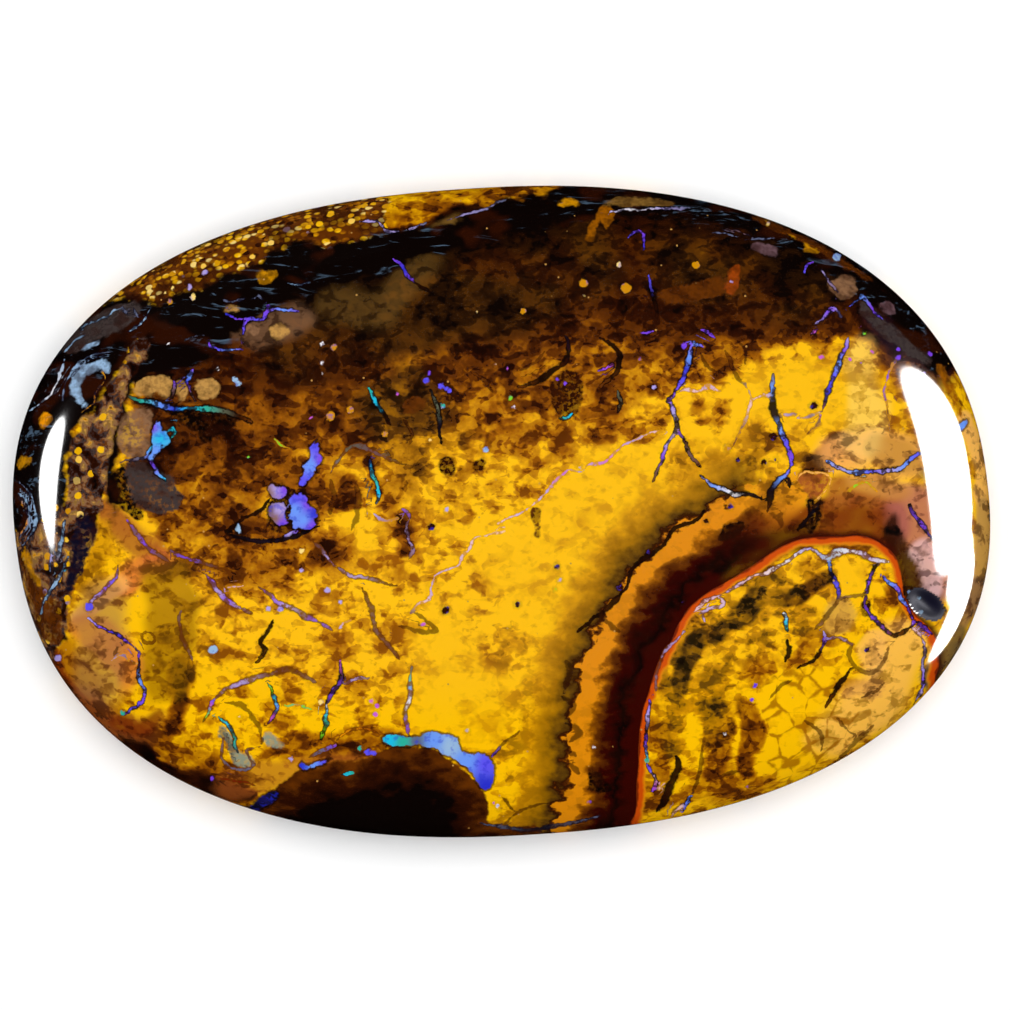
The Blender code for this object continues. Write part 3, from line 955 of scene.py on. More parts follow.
        (2.4, "agateBlue lavender", [(930, 448), (940, 438), (950, 432)]),
        # The next three streaks are partly pale streaks of the stone and partly painted highlight glow beside
        # the left-hand highlight
        (3.0, "agateBlue steel agateBlue mauve", [(65, 520), (61, 540), (57, 560)]),
        (2.4, "steel agateBlue steel", [(68, 556), (60, 576), (46, 598), (40, 614)]),
        (1.8, "lavender steel", [(52, 552), (50, 572)]),
        (1.6, "steel agateBlue", [(80, 330), (92, 322), (104, 318), (116, 310)]),
        (1.4, "agateBlue steel", [(64, 352), (74, 340), (86, 334)]),
    ],
}

# Small round spots: colour, radius, places
spots = {
    "violet": (2.0, [(429, 373), (565, 383), (557, 379), (640, 359), (755, 685), (752, 700), (861, 363),
                     (898, 349), (898, 357), (212, 778), (930, 354), (684, 346), (748, 786), (589, 802)]),
    "blueViolet": (3.0, [
        (449, 391), (426, 381), (89, 607), (374, 753), (368, 752), (441, 386), (446, 389),
    ]),
    "magenta": (1.8, [
        (507, 369), (423, 624), (371, 701), (377, 706), (376, 714), (850, 359), (872, 352), (860, 327),
        (821, 357), (494, 803), (397, 394), (311, 418),
    ]),
    "agateBlue": (3.6, [(235, 379), (238, 384), (212, 650), (486, 449), (837, 257)]),
    "lavender": (2.4, [
        (654, 387), (340, 602), (328, 590), (301, 570), (268, 609), (280, 610), (580, 468), (190, 287),
        (205, 272), (731, 281), (923, 374), (447, 509), (560, 580), (291, 759), (58, 658),
    ]),
    # The three steel spots lie in the open pit: painted glints, standing in for reflections on its glassy
    # black
    "steel": (2.0, [(909, 592), (919, 598), (921, 612)]),
    "green": (1.8, [(249, 457), (303, 706), (510, 399), (865, 333), (555, 589)]),
    "teal": (2.2, [(360, 748), (443, 406), (122, 713), (65, 571), (647, 761)]),
    "paleGold": (2.0, [
        (496, 364), (430, 440), (302, 551), (509, 628), (468, 730), (321, 702), (477, 312), (584, 296),
        (150, 291), (165, 292), (173, 288), (193, 297), (768, 223), (696, 265), (619, 265),
    ]),
    "gold": (3.6, [(334, 347), (696, 265), (583, 283), (523, 311), (350, 410), (331, 416), (385, 434),
                   (727, 449), (626, 288), (170, 302)]),
    "white": (1.6, [(499, 809), (594, 747), (168, 343), (725, 734), (322, 344), (322, 363), (322, 374),
                    (218, 369), (514, 407), (442, 407), (240, 717), (497, 806)]),
    "darkBrown": (3.2, [
        (557, 566), (517, 605), (432, 527), (738, 459), (764, 462), (773, 436), (776, 459), (730, 507),
        (445, 610), (706, 521), (650, 552), (620, 587), (683, 602), (867, 650), (814, 406),
    ]),
}

noduleStrokes = [
    (0.68, 16, 14, [(655, 790), (664, 720), (668, 690), (690, 640), (740, 600), (800, 574)]),
    (0.76, 30, 16, [(712, 690), (735, 660), (780, 640)]),
    (0.4, 6, 5, [(681, 694), (684, 668), (696, 650), (718, 634), (742, 618), (762, 604), (790, 598),
                 (826, 582)]),
    (0.34, 6, 5, [(680, 684), (686, 662)]),
    (0.5, 9, 8, [(712, 715), (722, 745), (716, 770)]),
    (0.38, 8, 6, [(744, 708), (752, 738), (750, 770)]),
    (0.93, 16, 12, [(775, 700), (788, 740), (776, 772), (812, 756), (838, 722), (802, 698)]),
    (0.88, 14, 14, [(852, 720), (880, 700), (905, 660)]),
    (0.66, 7, 8, [(846, 690), (872, 682)]),
    (0.66, 8, 8, [(886, 596), (898, 618)]),
    (0.9, 10, 6, [(846, 576), (856, 588)]),
    (0.8, 10, 5, [(842, 622), (870, 652)]),
    (0.64, 8, 10, [(728, 794), (766, 788)]),
]

bandOutline = [
    (118, 520), (108, 508), (104, 462), (111, 402), (124, 362), (142, 332), (118, 301), (140, 298),
    (152, 302), (163, 302), (176, 296), (189, 291), (214, 280), (240, 267), (265, 257), (284, 246),
    (306, 242), (329, 246), (348, 242), (370, 235), (393, 234), (412, 230), (437, 224), (463, 217),
    (488, 205), (507, 198), (560, 190), (640, 150), (860, 150), (960, 300), (948, 372), (934, 374),
    (905, 340), (862, 300), (800, 256), (740, 232), (660, 218), (580, 222), (500, 238), (430, 258),
    (362, 280), (290, 298), (250, 326), (215, 356), (165, 372), (135, 388), (124, 420), (118, 470),
]

chipOutline = [
    (-60, 330), (60, 300), (95, 300), (125, 298), (150, 299), (164, 308), (150, 330), (140, 350),
    (130, 362), (118, 374), (106, 392), (95, 410), (79, 424), (71, 450), (66, 500), (60, 552), (20, 546),
    (-60, 480),
]

oliveStrokes = [  # where the darker ground leans to olive: strength, radius, softness, route
    (0.5, 40, 40, [(320, 320), (400, 300), (500, 270), (560, 255)]),
    (0.5, 30, 40, [(700, 250), (800, 270)]),
    (1.0, 40, 40, [(670, 520), (600, 580), (560, 640), (545, 700), (550, 800)]),
    (0.9, 24, 24, [(680, 480), (740, 470), (780, 440)]),
    (1.0, 30, 20, [(700, 720), (700, 650), (760, 610), (830, 600)]),
    (0.6, 30, 30, [(170, 600), (170, 660)]),
    (0.6, 30, 30, [(400, 410), (440, 470)]),
]

# How solid a vein is, by the colour of its rim
veinStrength = {"black": 0.97, "darkBrown": 0.72, "brown": 0.88, "gold": 0.88, "blackBlue": 0.95}
veinForm = {
    "margin": 7.0,  # pixels beyond a vein in which its offset is kept
    "width": 0.88,  # of the widths above
    "endWidth": 0.35,  # at a vein's ends, as a share of its width
    "wobble": 0.35,
    "wobbleSize": 8,  # pixels
    "wobbleSeed": 41,
}

# How marks are pushed about, so that their edges are uneven: by how many pixels, how large the bumps are,
# and the seed
warps = {
    "ground": (9, 42, 11),
    "zones": (2.5, 16, 21),
    "nodule": (1.5, 24, 27),
    "patches": (1.2, 7, 31),
    "veins": (1.0, 6, 51),
}
# The rings outside the nodule fade out to the right of this column, over this many pixels
ringEnd = (725, 50)


# Painting: every mark becomes an attribute that the material reads
def smoothRoute(points, closed=False, steps=4):
    points = np.array(points, float)
    if len(points) < 3:
        return points
    if closed:
        before, start, end, after = (np.roll(points, shift, axis=0) for shift in (1, 0, -1, -2))
    else:
        padded = np.vstack([2 * points[0] - points[1], points, 2 * points[-1] - points[-2]])
        before, start, end, after = padded[:-3], padded[1:-2], padded[2:-1], padded[3:]
    made = []
    for t in np.arange(steps) / steps:
        made.append(0.5 * (2 * start + (end - before) * t + (2 * before - 5 * start + 4 * end - after) * t**2
                           + (3 * start - before - 3 * end + after) * t**3))
    route = np.stack(made, axis=1).reshape(-1, 2)
    return route if closed else np.vstack([route, points[-1]])


# From each place to the nearest point of the route: the offset, its length, and how far along that point is
def offsetTo(route, places):
    best = np.full(len(places), np.inf)
    offset = np.zeros_like(places)
    along = np.zeros(len(places))
    walked = 0.0
    for start, end in zip(route[:-1], route[1:]):
        step = end - start
        length = max(math.hypot(*step), 1e-9)
        share = np.clip((places - start) @ step / length**2, 0, 1)
        gap = start + share[:, None] * step - places
        away = np.hypot(gap[:, 0], gap[:, 1])
        closer = away < best
        best[closer] = away[closer]
        offset[closer] = gap[closer]
        along[closer] = walked + share[closer] * length
        walked += length
    return offset, best, along / max(walked, 1e-9)


def insideOf(outline, places):
    inside = np.zeros(len(places), bool)
    for (x1, y1), (x2, y2) in zip(outline, np.roll(outline, -1, axis=0)):
        crosses = (y1 > places[:, 1]) != (y2 > places[:, 1])
        if crosses.any():
            inside ^= crosses & (places[:, 0] < (x2 - x1) * (places[:, 1] - y1) / (y2 - y1 + 1e-12) + x1)
    return inside


def edgeDistance(outline, places):  # below nought inside the outline
    route = smoothRoute(outline, closed=True)
    away = offsetTo(np.vstack([route, route[0]]), places)[1]
    return np.where(insideOf(route, places), -away, away)


def around(route, places, margin):  # the places within a margin of a route's box
    low, high = np.min(route, axis=0) - margin, np.max(route, axis=0) + margin
    return np.flatnonzero(((places > low) & (places < high)).all(axis=1))


def softNoise(places, scale, seed):  # smooth noise from -1 to 1, with bumps this many pixels apart
    size = 64
    table = np.random.default_rng(seed).random((size, size))
    at = places / scale
    cell = np.floor(at).astype(int)
    part = at - cell
    part = part * part * (3 - 2 * part)
    x0, y0 = cell[:, 0] % size, cell[:, 1] % size
    x1, y1 = (x0 + 1) % size, (y0 + 1) % size
    top = table[x0, y0] * (1 - part[:, 0]) + table[x1, y0] * part[:, 0]
    bottom = table[x0, y1] * (1 - part[:, 0]) + table[x1, y1] * part[:, 0]
    return 2 * (top * (1 - part[:, 1]) + bottom * part[:, 1]) - 1


def warped(places, amount, scale, seed):
    push = np.stack([softNoise(places, scale, seed + n) for n in (0, 1)], axis=1)
    finer = np.stack([softNoise(places, scale / 2.3, seed + n) for n in (2, 3)], axis=1)
    return places + amount * (push + 0.5 * finer)


def fadeOut(away, radius, softness):  # 1 within the radius, easing to 0
    t = np.clip((away - radius) / softness, 0, 1)
    return 1 - t * t * (3 - 2 * t)


def store(mesh, name, kind, values):
    field = mesh.attributes.new(name, kind, "POINT")
    key = {"FLOAT": "value", "FLOAT_VECTOR": "vector", "FLOAT_COLOR": "color"}[kind]
    field.data.foreach_set(key, np.ascontiguousarray(values, np.float32).ravel())


def brightness(strokes, places):
    shade = np.full(len(places), groundBrightness)
    for value, radius, softness, route in strokes:
        away = offsetTo(smoothRoute(route), places)[1]
        shade += (value - shade) * fadeOut(away, radius, softness)
    return shade


def paintGround(mesh, places):
    rough = warped(places, *warps["ground"])
    olive = np.zeros(len(places))
    for value, radius, softness, route in oliveStrokes:
        away = offsetTo(smoothRoute(route), rough)[1]
        olive = np.maximum(olive, value * fadeOut(away, radius, softness))
    store(mesh, "shade", "FLOAT", brightness(groundStrokes, rough))
    store(mesh, "noduleShade", "FLOAT", brightness(noduleStrokes, rough))
    store(mesh, "oliveAmount", "FLOAT", olive)
    store(mesh, "ringAmount", "FLOAT", fadeOut(rough[:, 0], *ringEnd))
    tint = np.zeros((len(places), 3))
    amount = np.zeros((len(places), 1))
    for name, strength, radius, softness, route in tintStrokes:
        away = offsetTo(smoothRoute(route), rough)[1]
        weight = (strength * fadeOut(away, radius, softness))[:, None]
        amount = amount + weight * (1 - amount)
        tint += (np.array(tone(name)[:3]) - tint) * weight / np.maximum(amount, 1e-6)
    store(mesh, "tint", "FLOAT_COLOR", np.hstack([tint, np.ones((len(tint), 1))]))
    store(mesh, "tintAmount", "FLOAT", amount)


def paintZones(mesh, places):
    wavy = warped(places, *warps["zones"])
    store(mesh, "noduleEdge", "FLOAT", edgeDistance(noduleOutline, warped(places, *warps["nodule"])))
    store(mesh, "pocketEdge", "FLOAT", edgeDistance(pocketOutline, wavy))
    store(mesh, "sandEdge", "FLOAT", edgeDistance(sandOutline, wavy))
    band = np.minimum(edgeDistance(bandOutline, wavy), edgeDistance(chipOutline, wavy))
    store(mesh, "bandEdge", "FLOAT", band)
    rock = np.minimum(edgeDistance(leftRockOutline, wavy), edgeDistance(sandColumnOutline, wavy))
    store(mesh, "rockEdge", "FLOAT", rock)


def paintPatches(mesh, places):
    farAway = 30.0
    edge = np.full(len(places), farAway)
    colour = np.zeros((len(places), 4))
    wavy = warped(places, *warps["patches"])
    for name, outlines in patches.items():
        for outline in outlines:
            near = around(outline, places, farAway)
            away = edgeDistance(outline, wavy[near])
            closer = away < edge[near]
            edge[near[closer]] = away[closer]
            colour[near[closer]] = tone(name)
    store(mesh, "patchEdge", "FLOAT", edge)
    store(mesh, "patchColour", "FLOAT_COLOR", colour)


def paintGems(mesh, places):
    farAway = 20.0
    edge = np.full(len(places), farAway)
    colour = np.zeros((len(places), 4))
    for name, (radius, middles) in spots.items():
        for index, middle in enumerate(middles):
            near = around([middle], places, farAway)
            gap = places[near] - np.array(middle)
            away = np.hypot(gap[:, 0], gap[:, 1]) - radius * (0.8 + 0.2 * (index % 3))  # three sizes in turn
            closer = away < edge[near]
            edge[near[closer]] = away[closer]
            colour[near[closer]] = tone(name, 0.25)  # the last channel says how dark the outline round it is
    for gem in gems.values():
        near = around(gem["outline"], places, farAway)
        away = edgeDistance(gem["outline"], places[near])
        closer = away < edge[near]
        picked = near[closer]
        edge[picked] = away[closer]
        blend = np.zeros((len(picked), 4))
        total = np.zeros((len(picked), 1))
        for name, place in gem["colours"]:
            gap = places[picked] - np.array(place)
            weight = 1 / (np.hypot(gap[:, 0], gap[:, 1])[:, None] + 1.5) ** 3
            blend += weight * np.array(tone(name))
            total += weight
        colour[picked] = blend / total
    store(mesh, "gemEdge", "FLOAT", edge)
    store(mesh, "gemColour", "FLOAT_COLOR", colour)


def paintVeins(mesh, places):
    margin = veinForm["margin"]
    score = np.full(len(places), np.inf)
    offset = np.zeros((len(places), 3))
    width = np.zeros(len(places))
    core = np.zeros((len(places), 4))
    edge = np.zeros((len(places), 4))
    wavy = warped(places, *warps["veins"])
    for rimName, group in veins.items():
        for index, (halfWidth, coreNames, route) in enumerate(group):
            line = smoothRoute(route)
            near = around(line, places, halfWidth + margin)
            gap, away, along = offsetTo(line, wavy[near])
            ends = np.minimum(along, 1 - along) * 2
            full = np.sqrt(np.clip(ends * 1.5, 0, 1))
            taper = veinForm["endWidth"] + (1 - veinForm["endWidth"]) * full
            noise = softNoise(places[near], veinForm["wobbleSize"], veinForm["wobbleSeed"] + index)
            here = veinForm["width"] * halfWidth * taper * (1 + veinForm["wobble"] * noise)
            closer = (away - here < score[near]) & (away < halfWidth + margin)
            picked = near[closer]
            score[picked] = (away - here)[closer]
            offset[picked, :2] = gap[closer]
            width[picked] = here[closer]
            names = coreNames.split()
            tones = np.array([tone(name) for name in names + names[-1:]])
            step = along[closer] * (len(names) - 1)
            index0 = np.floor(step).astype(int)
            part = (step - index0)[:, None]
            core[picked] = tones[index0] * (1 - part) + tones[index0 + 1] * part
            edge[picked] = tone(rimName, veinStrength[rimName])
    store(mesh, "veinOffset", "FLOAT_VECTOR", offset)
    store(mesh, "veinWidth", "FLOAT", width)
    store(mesh, "veinCore", "FLOAT_COLOR", core)
    store(mesh, "veinRim", "FLOAT_COLOR", edge)


def paintStone(obj):
    mesh = obj.data
    count = len(mesh.vertices)
    points = np.empty(count * 3)
    mesh.vertices.foreach_get("co", points)
    points = points.reshape(-1, 3)
    depth = np.empty(count)
    mesh.attributes["depth"].data.foreach_get("value", depth)
    atShoulder = points.copy()
    atShoulder[depth > 0, 2] = shoulderHeight
    places = pixelOf(atShoulder)
    outward = points[:, :2] / np.maximum(np.hypot(points[:, 0], points[:, 1]), 1e-6)[:, None]
    places += outward * np.array([1, -1]) * (depth / pixelSize)[:, None]  # the pattern runs on down the side
    # The pit's black fades out just past its edge
    pitHere = np.clip(4 - 3 * pitReach(points), 0, 1) * (points[:, 2] > shoulderHeight)
    store(mesh, "pit", "FLOAT", pitHere)
    paintGround(mesh, places)
    paintZones(mesh, places)
    paintPatches(mesh, places)
    paintGems(mesh, places)
    paintVeins(mesh, places)


# Material: the stone, from its attributes and from noise in the stone's own space
class Tree:  # a node tree that is built by calls
    def __init__(self, material):
        material.use_nodes = True
        self.nodes = material.node_tree.nodes
        self.links = material.node_tree.links
        self.nodes.clear()

    def add(self, kind, inputs=None, **settings):
        node = self.nodes.new(kind)
        for key, value in settings.items():
            setattr(node, key, value)
        for key, value in (inputs or {}).items():
            if isinstance(value, bpy.types.NodeSocket):
                self.links.new(value, node.inputs[key])
            else:
                node.inputs[key].default_value = value
        return node

    def read(self, name, output="Fac"):
        return self.add("ShaderNodeAttribute", attribute_name=name).outputs[output]

    def calc(self, operation, *values):
        return self.add("ShaderNodeMath", dict(enumerate(values)), operation=operation).outputs[0]

    def times(self, first, *others):
        product = first
        for other in others:
            product = self.calc("MULTIPLY", product, other)
        return product

    def fade(self, value, start, end, low=0.0, high=1.0):
        inputs = {"Value": value, "From Min": start, "From Max": end, "To Min": low, "To Max": high}
        return self.add("ShaderNodeMapRange", inputs, interpolation_type="SMOOTHSTEP").outputs[0]

    def mix(self, amount, first, second):
        inputs = {0: amount, 6: first, 7: second}
        return self.add("ShaderNodeMix", inputs, data_type="RGBA").outputs[2]

    def ramp(self, value, name):
        node = self.add("ShaderNodeValToRGB", {"Fac": value})
        elements = node.color_ramp.elements
        stops = ramps[name]
        while len(elements) < len(stops):
            elements.new(0.5)
        for element, (position, colourName) in zip(elements, stops):
            element.position = position
            element.color = tone(colourName)
        return node.outputs[0]

    def noise(self, vector, size, detail, roughness, distortion=0.0):
        inputs = {"Vector": vector, "Scale": 1 / size, "Detail": detail, "Roughness": roughness,
                  "Distortion": distortion}
        return self.add("ShaderNodeTexNoise", inputs).outputs[0]

    def cells(self, vector, size, feature="F1"):
        inputs = {"Vector": vector, "Scale": 1 / size}
        return self.add("ShaderNodeTexVoronoi", inputs, feature=feature).outputs

    def picks(self, cells):  # three numbers for each cell, to pick its colour and its presence by
        return self.add("ShaderNodeSeparateColor", {0: cells["Color"]}).outputs

    def surface(self, inputs):
        shader = self.add("ShaderNodeBsdfPrincipled", inputs)
        self.add("ShaderNodeOutputMaterial", {"Surface": shader.outputs[0]})


finish = {
    "patchSize": 1.1 * millimetre,  # the large blotches of the ground
    "mottleSize": 0.42 * millimetre,
    "grainSize": 0.12 * millimetre,
    "hueSize": 2.6 * millimetre,
    "patchDepth": 0.6,  # how much each of these moves the ground's brightness
    "mottleDepth": 0.6,
    "grainDepth": 0.22,
    # Blotches: size in millimetres, depth, and the level of the noise at their edge
    "blotches": ((0.9, 0.15, 0.46), (0.5, 0.14, 0.45), (0.28, 0.12, 0.43)),
    "blotchEdge": 0.03,
    "deepest": -0.32,
    "banding": {"turn": math.radians(-16), "stretch": (0.75, 1.0, 1.0)},  # the grain of the rock
    "streaks": {"turn": math.radians(-12), "stretch": (0.25, 1.3, 1.0)},  # scratches in the black band
    "scratchSize": 0.35 * millimetre,
    "cellSize": 0.75 * millimetre,  # cells inside the nodule
    "ringWidth": 130.0,  # pixels from the nodule's edge to the last ring outside it
    "rimWidth": 7.5,
    "pocketWidth": 80.0,  # pixels from the pocket's edge to its darkest
    "sandSize": 0.17 * millimetre,
    "pebbleSize": 0.34 * millimetre,
    "lumpSize": 0.5 * millimetre,
    "fleckSize": 0.2 * millimetre,  # light and dark along a vein
    "dustSpacing": 0.5 * millimetre,
    "backSize": 2.4 * millimetre,
    "polish": 0.07,  # roughness of the polished face
    "sandPolish": 0.16,
    "pit": 0.5,  # roughness inside the open pit
    "pitShine": 0.1,
    "ground": 0.55,  # roughness of the ground base
    "refraction": 1.7,
}

ramps = {  # colours along a scale from 0 to 1
    "warm": [(0.0, "black"), (0.2, "darkBrown"), (0.4, "brown"), (0.55, "amber"), (0.72, "gold"),
             (0.9, "yellow")],
    "olive": [(0.0, "black"), (0.2, "oliveBlack"), (0.4, "oliveBrown"), (0.56, "olive"), (0.74, "gold"),
              (0.92, "yellow")],
    "rings": [(0.0, "maroon"), (0.08, "maroon"), (0.15, "black"), (0.25, "maroon"), (0.32, "brown"),
              (0.37, "amber"), (0.4, "ochre"), (0.53, "ochre"), (0.54, "brown"), (0.56, "darkBrown"),
              (0.6, "oliveBrown"), (0.68, "olive"), (0.84, "gold"), (1.0, "yellow")],
    "rim": [(0.0, "brick"), (0.2, "rimOrange"), (0.6, "rimOrange"), (1.0, "ochre")],
    "pocket": [(0.0, "brown"), (0.22, "darkBrown"), (0.5, "black")],
    "sand": [(0.0, "darkBrown"), (0.3, "brown"), (0.5, "amber"), (0.68, "gold"), (0.9, "yellow"),
             (1.0, "paleGold")],
    "pebble": [(0.0, "gold"), (0.45, "yellow"), (0.8, "paleGold"), (0.9, "lavender"), (0.97, "mauve")],
    "rock": [(0.34, "black"), (0.42, "darkBrown"), (0.47, "slate"), (0.5, "brown"), (0.54, "mauveTan"),
             (0.58, "oliveTan"), (0.62, "tan"), (0.66, "gold"), (0.7, "darkBrown"), (0.78, "greyBlue")],
    "back": [(0.25, "black"), (0.42, "darkBrown"), (0.55, "brown"), (0.7, "mauveTan")],
}


class StoneTree(Tree):  # with what the parts of the stone share
    def __init__(self, material):
        super().__init__(material)
        self.place = self.add("ShaderNodeTexCoord").outputs["Object"]
        self.banded = self.drawnOut(finish["banding"])
        self.patch = self.noise(self.banded, finish["patchSize"], 2, 0.5, 0.1)
        self.grain = self.noise(self.place, finish["grainSize"], 2, 0.5)
        self.hue = self.noise(self.banded, finish["hueSize"], 3, 0.6)
        self.fleck = self.noise(self.place, finish["fleckSize"], 2, 0.6)
        mottle = self.noise(self.banded, finish["mottleSize"], 3, 0.5, 0.1)
        self.swing = self.calc("SUBTRACT", mottle, 0.5)
        self.jitter = self.calc("SUBTRACT", self.grain, 0.5)
        wave = self.times(self.calc("SUBTRACT", self.patch, 0.5), finish["patchDepth"])
        wave = self.calc("MULTIPLY_ADD", self.swing, finish["mottleDepth"], wave)
        wave = self.calc("MULTIPLY_ADD", self.jitter, finish["grainDepth"], wave)
        half = finish["blotchEdge"]
        for size, depth, level in finish["blotches"]:
            blotch = self.noise(self.banded, size * millimetre, 2, 0.55, 0.3)
            wave = self.calc("ADD", wave, self.fade(blotch, level - half, level + half, -depth, 0.3 * depth))
        self.wave = self.calc("MAXIMUM", wave, finish["deepest"])
        self.fromNodule = self.read("noduleEdge")

    def drawnOut(self, form):  # the stone's own space, turned and stretched
        inputs = {"Vector": self.place, "Rotation": (0, 0, form["turn"]), "Scale": form["stretch"]}
        return self.add("ShaderNodeMapping", inputs).outputs[0]

    def ragged(self, value, bySwing, byJitter=0.0):  # an edge or a place on a ramp, made uneven
        if byJitter:
            value = self.calc("MULTIPLY_ADD", self.jitter, byJitter, value)
        if bySwing:
            value = self.calc("MULTIPLY_ADD", self.swing, bySwing, value)
        return value


def groundColour(tree):  # the painted shade and the noise pick a place on a ramp
    inNodule = tree.fade(tree.fromNodule, 0.6, -0.6)
    shades = {0: inNodule, 2: tree.read("shade"), 3: tree.read("noduleShade")}
    shade = tree.add("ShaderNodeMix", shades).outputs[0]
    # The darkest and the brightest ground are the calmest
    lively = tree.times(tree.fade(shade, 0.1, 0.45, 0.5, 1.0), tree.fade(shade, 0.83, 0.88, 1.0, 0.4))
    lit = tree.calc("MULTIPLY_ADD", tree.wave, lively, shade)
    olive = tree.times(tree.fade(tree.hue, 0.38, 0.55, 0.3, 1.0), tree.read("oliveAmount"))
    colour = tree.mix(olive, tree.ramp(lit, "warm"), tree.ramp(lit, "olive"))
    # Soft tints, broken up by the same noise
    tint = tree.read("tint", "Color")
    tint = tree.mix(tree.fade(tree.wave, 0.05, -0.25, 0.0, 0.7), tint, tone("darkBrown"))
    amount = tree.times(tree.read("tintAmount"), tree.fade(tree.hue, 0.25, 0.5, 0.8, 1.0))
    return tree.mix(amount, colour, tint)


def addNodule(tree, colour):
    # Healed cracks part its inside into cells
    crack = tree.ragged(tree.cells(tree.place, finish["cellSize"], "DISTANCE_TO_EDGE")["Distance"], 0.4)
    crackHere = tree.times(
        tree.fade(crack, 0.09, 0.0), tree.fade(tree.read("noduleShade"), 0.8, 0.9), 0.8,
        tree.fade(tree.fromNodule, -60.0, -90.0),
    )
    colour = tree.mix(crackHere, colour, tone("amber"))
    # Rings outside it, from its edge outwards, and a dark red line at the edge
    outside = tree.fade(tree.fromNodule, -0.6, 0.6)
    rough = tree.ragged(tree.fromNodule, 40.0, 5.0)
    rings = tree.ramp(tree.calc("DIVIDE", rough, finish["ringWidth"]), "rings")
    rings = tree.mix(tree.fade(tree.wave, 0.05, -0.25, 0.0, 0.2), rings, tone("darkBrown"))
    ringHere = tree.times(tree.fade(rough, 132.0, 96.0), tree.read("ringAmount"), outside)
    colour = tree.mix(ringHere, colour, rings)
    redHere = tree.times(tree.fade(tree.fromNodule, 9.0, 1.0, 0.0, 0.9), outside)
    colour = tree.mix(redHere, colour, tone("maroon"))
    # The orange rim inside it
    rimPlace = tree.calc("DIVIDE", tree.ragged(tree.fromNodule, 8.0), -finish["rimWidth"])
    inRim = tree.times(tree.fade(tree.fromNodule, 1.2, -0.4), tree.fade(rimPlace, 1.3, 0.85))
    return tree.mix(inRim, colour, tree.ramp(rimPlace, "rim"))


def addPocket(tree, colour):  # the dark pocket at the bottom
    fromPocket = tree.ragged(tree.read("pocketEdge"), 0.0, 4.0)
    depth = tree.ragged(tree.calc("DIVIDE", fromPocket, -finish["pocketWidth"]), 0.8)
    return tree.mix(tree.fade(fromPocket, 1.5, -1.5), colour, tree.ramp(depth, "pocket"))


def largerGrains(tree):  # where they are, and their colours
    cells = tree.cells(tree.place, finish["pebbleSize"])
    picks = tree.picks(cells)
    edge = tree.ragged(cells["Distance"], 0.0, 0.2)
    here = tree.times(tree.fade(edge, 0.37, 0.3), tree.fade(picks[0], 0.66, 0.68))
    return here, tree.ramp(picks[1], "pebble")


def addSand(tree, colour, inSand, grainHere, grainColour):  # small and larger round grains in a brown ground
    cells = tree.cells(tree.banded, finish["sandSize"])
    sand = tree.ramp(tree.ragged(tree.picks(cells)[0], 1.4), "sand")
    sand = tree.mix(tree.fade(cells["Distance"], 0.4, 0.66), sand, tone("brown"))
    sand = tree.mix(tree.fade(tree.patch, 0.52, 0.38, 0.0, 0.7), sand, tone("darkBrown"))
    sand = tree.mix(grainHere, sand, grainColour)
    return tree.mix(inSand, colour, sand)


def addBand(tree, colour):  # the black band along the top, and the dark chip on the left
    # Steel streaks: scratches in the band, mixed in strongly enough to be partly painted reflection haze
    # along the left rim as well
    scratchesAndHaze = tree.noise(tree.drawnOut(finish["streaks"]), finish["scratchSize"], 3, 0.6, 1.2)
    band = tree.mix(tree.fade(scratchesAndHaze, 0.59, 0.72, 0.0, 0.5), tone("black"), tone("steel"))
    band = tree.mix(tree.fade(tree.patch, 0.5, 0.62, 0.0, 0.8), band, tone("darkBrown"))
    fromBand = tree.ragged(tree.read("bandEdge"), 22.0)
    return tree.mix(tree.fade(fromBand, 4.0, -4.0), colour, band)


def addRock(tree, colour, grainHere, grainColour):  # mixed rock at the left end
    lumps = tree.noise(tree.place, finish["lumpSize"], 4, 0.6, 0.3)
    rock = tree.mix(tree.times(grainHere, 0.9), tree.ramp(lumps, "rock"), grainColour)
    fromRock = tree.ragged(tree.read("rockEdge"), 14.0)
    return tree.mix(tree.fade(fromRock, 2.0, -2.0), colour, rock)


def addPatches(tree, colour):
    patch = tree.read("patchColour", "Color")
    patch = tree.mix(tree.fade(tree.swing, 0.02, -0.14, 0.0, 0.6), patch, tone("darkBrown"))
    patch = tree.mix(tree.fade(tree.grain, 0.42, 0.6, 0.0, 0.3), patch, colour)
    edge = tree.ragged(tree.read("patchEdge"), 12.0, 3.0)
    return tree.mix(tree.fade(edge, 1.6, -1.6), colour, patch)


def addVeins(tree, colour):
    offset = tree.read("veinOffset", "Vector")
    away = tree.add("ShaderNodeVectorMath", {0: offset}, operation="LENGTH").outputs["Value"]
    width = tree.read("veinWidth")
    rim = tree.read("veinRim", "Color")
    share = tree.calc("DIVIDE", tree.ragged(away, 3.0, 3.2), tree.calc("MAXIMUM", width, 0.05))
    core = tree.mix(tree.fade(tree.fleck, 0.55, 0.4, 0.0, 0.9), tree.read("veinCore", "Color"), rim)
    vein = tree.mix(tree.fade(share, 0.75, 0.35), rim, core)
    here = tree.times(tree.fade(share, 1.3, 0.7), tree.fade(width, 0.4, 0.8), tree.read("veinRim", "Alpha"))
    return tree.mix(here, colour, vein)


def addGems(tree, colour):  # bright opal, with a dark line round it
    edge = tree.ragged(tree.read("gemEdge"), 5.0, 4.0)
    lineHere = tree.times(tree.fade(edge, 3.4, 0.8), tree.read("gemColour", "Alpha"), 0.8)
    colour = tree.mix(lineHere, colour, tone("black"))
    gem = tree.read("gemColour", "Color")
    gem = tree.mix(tree.fade(tree.fleck, 0.5, 0.34, 0.0, 0.5), gem, tone("deepBlue"))
    return tree.mix(tree.fade(edge, 0.7, -0.7), colour, gem)


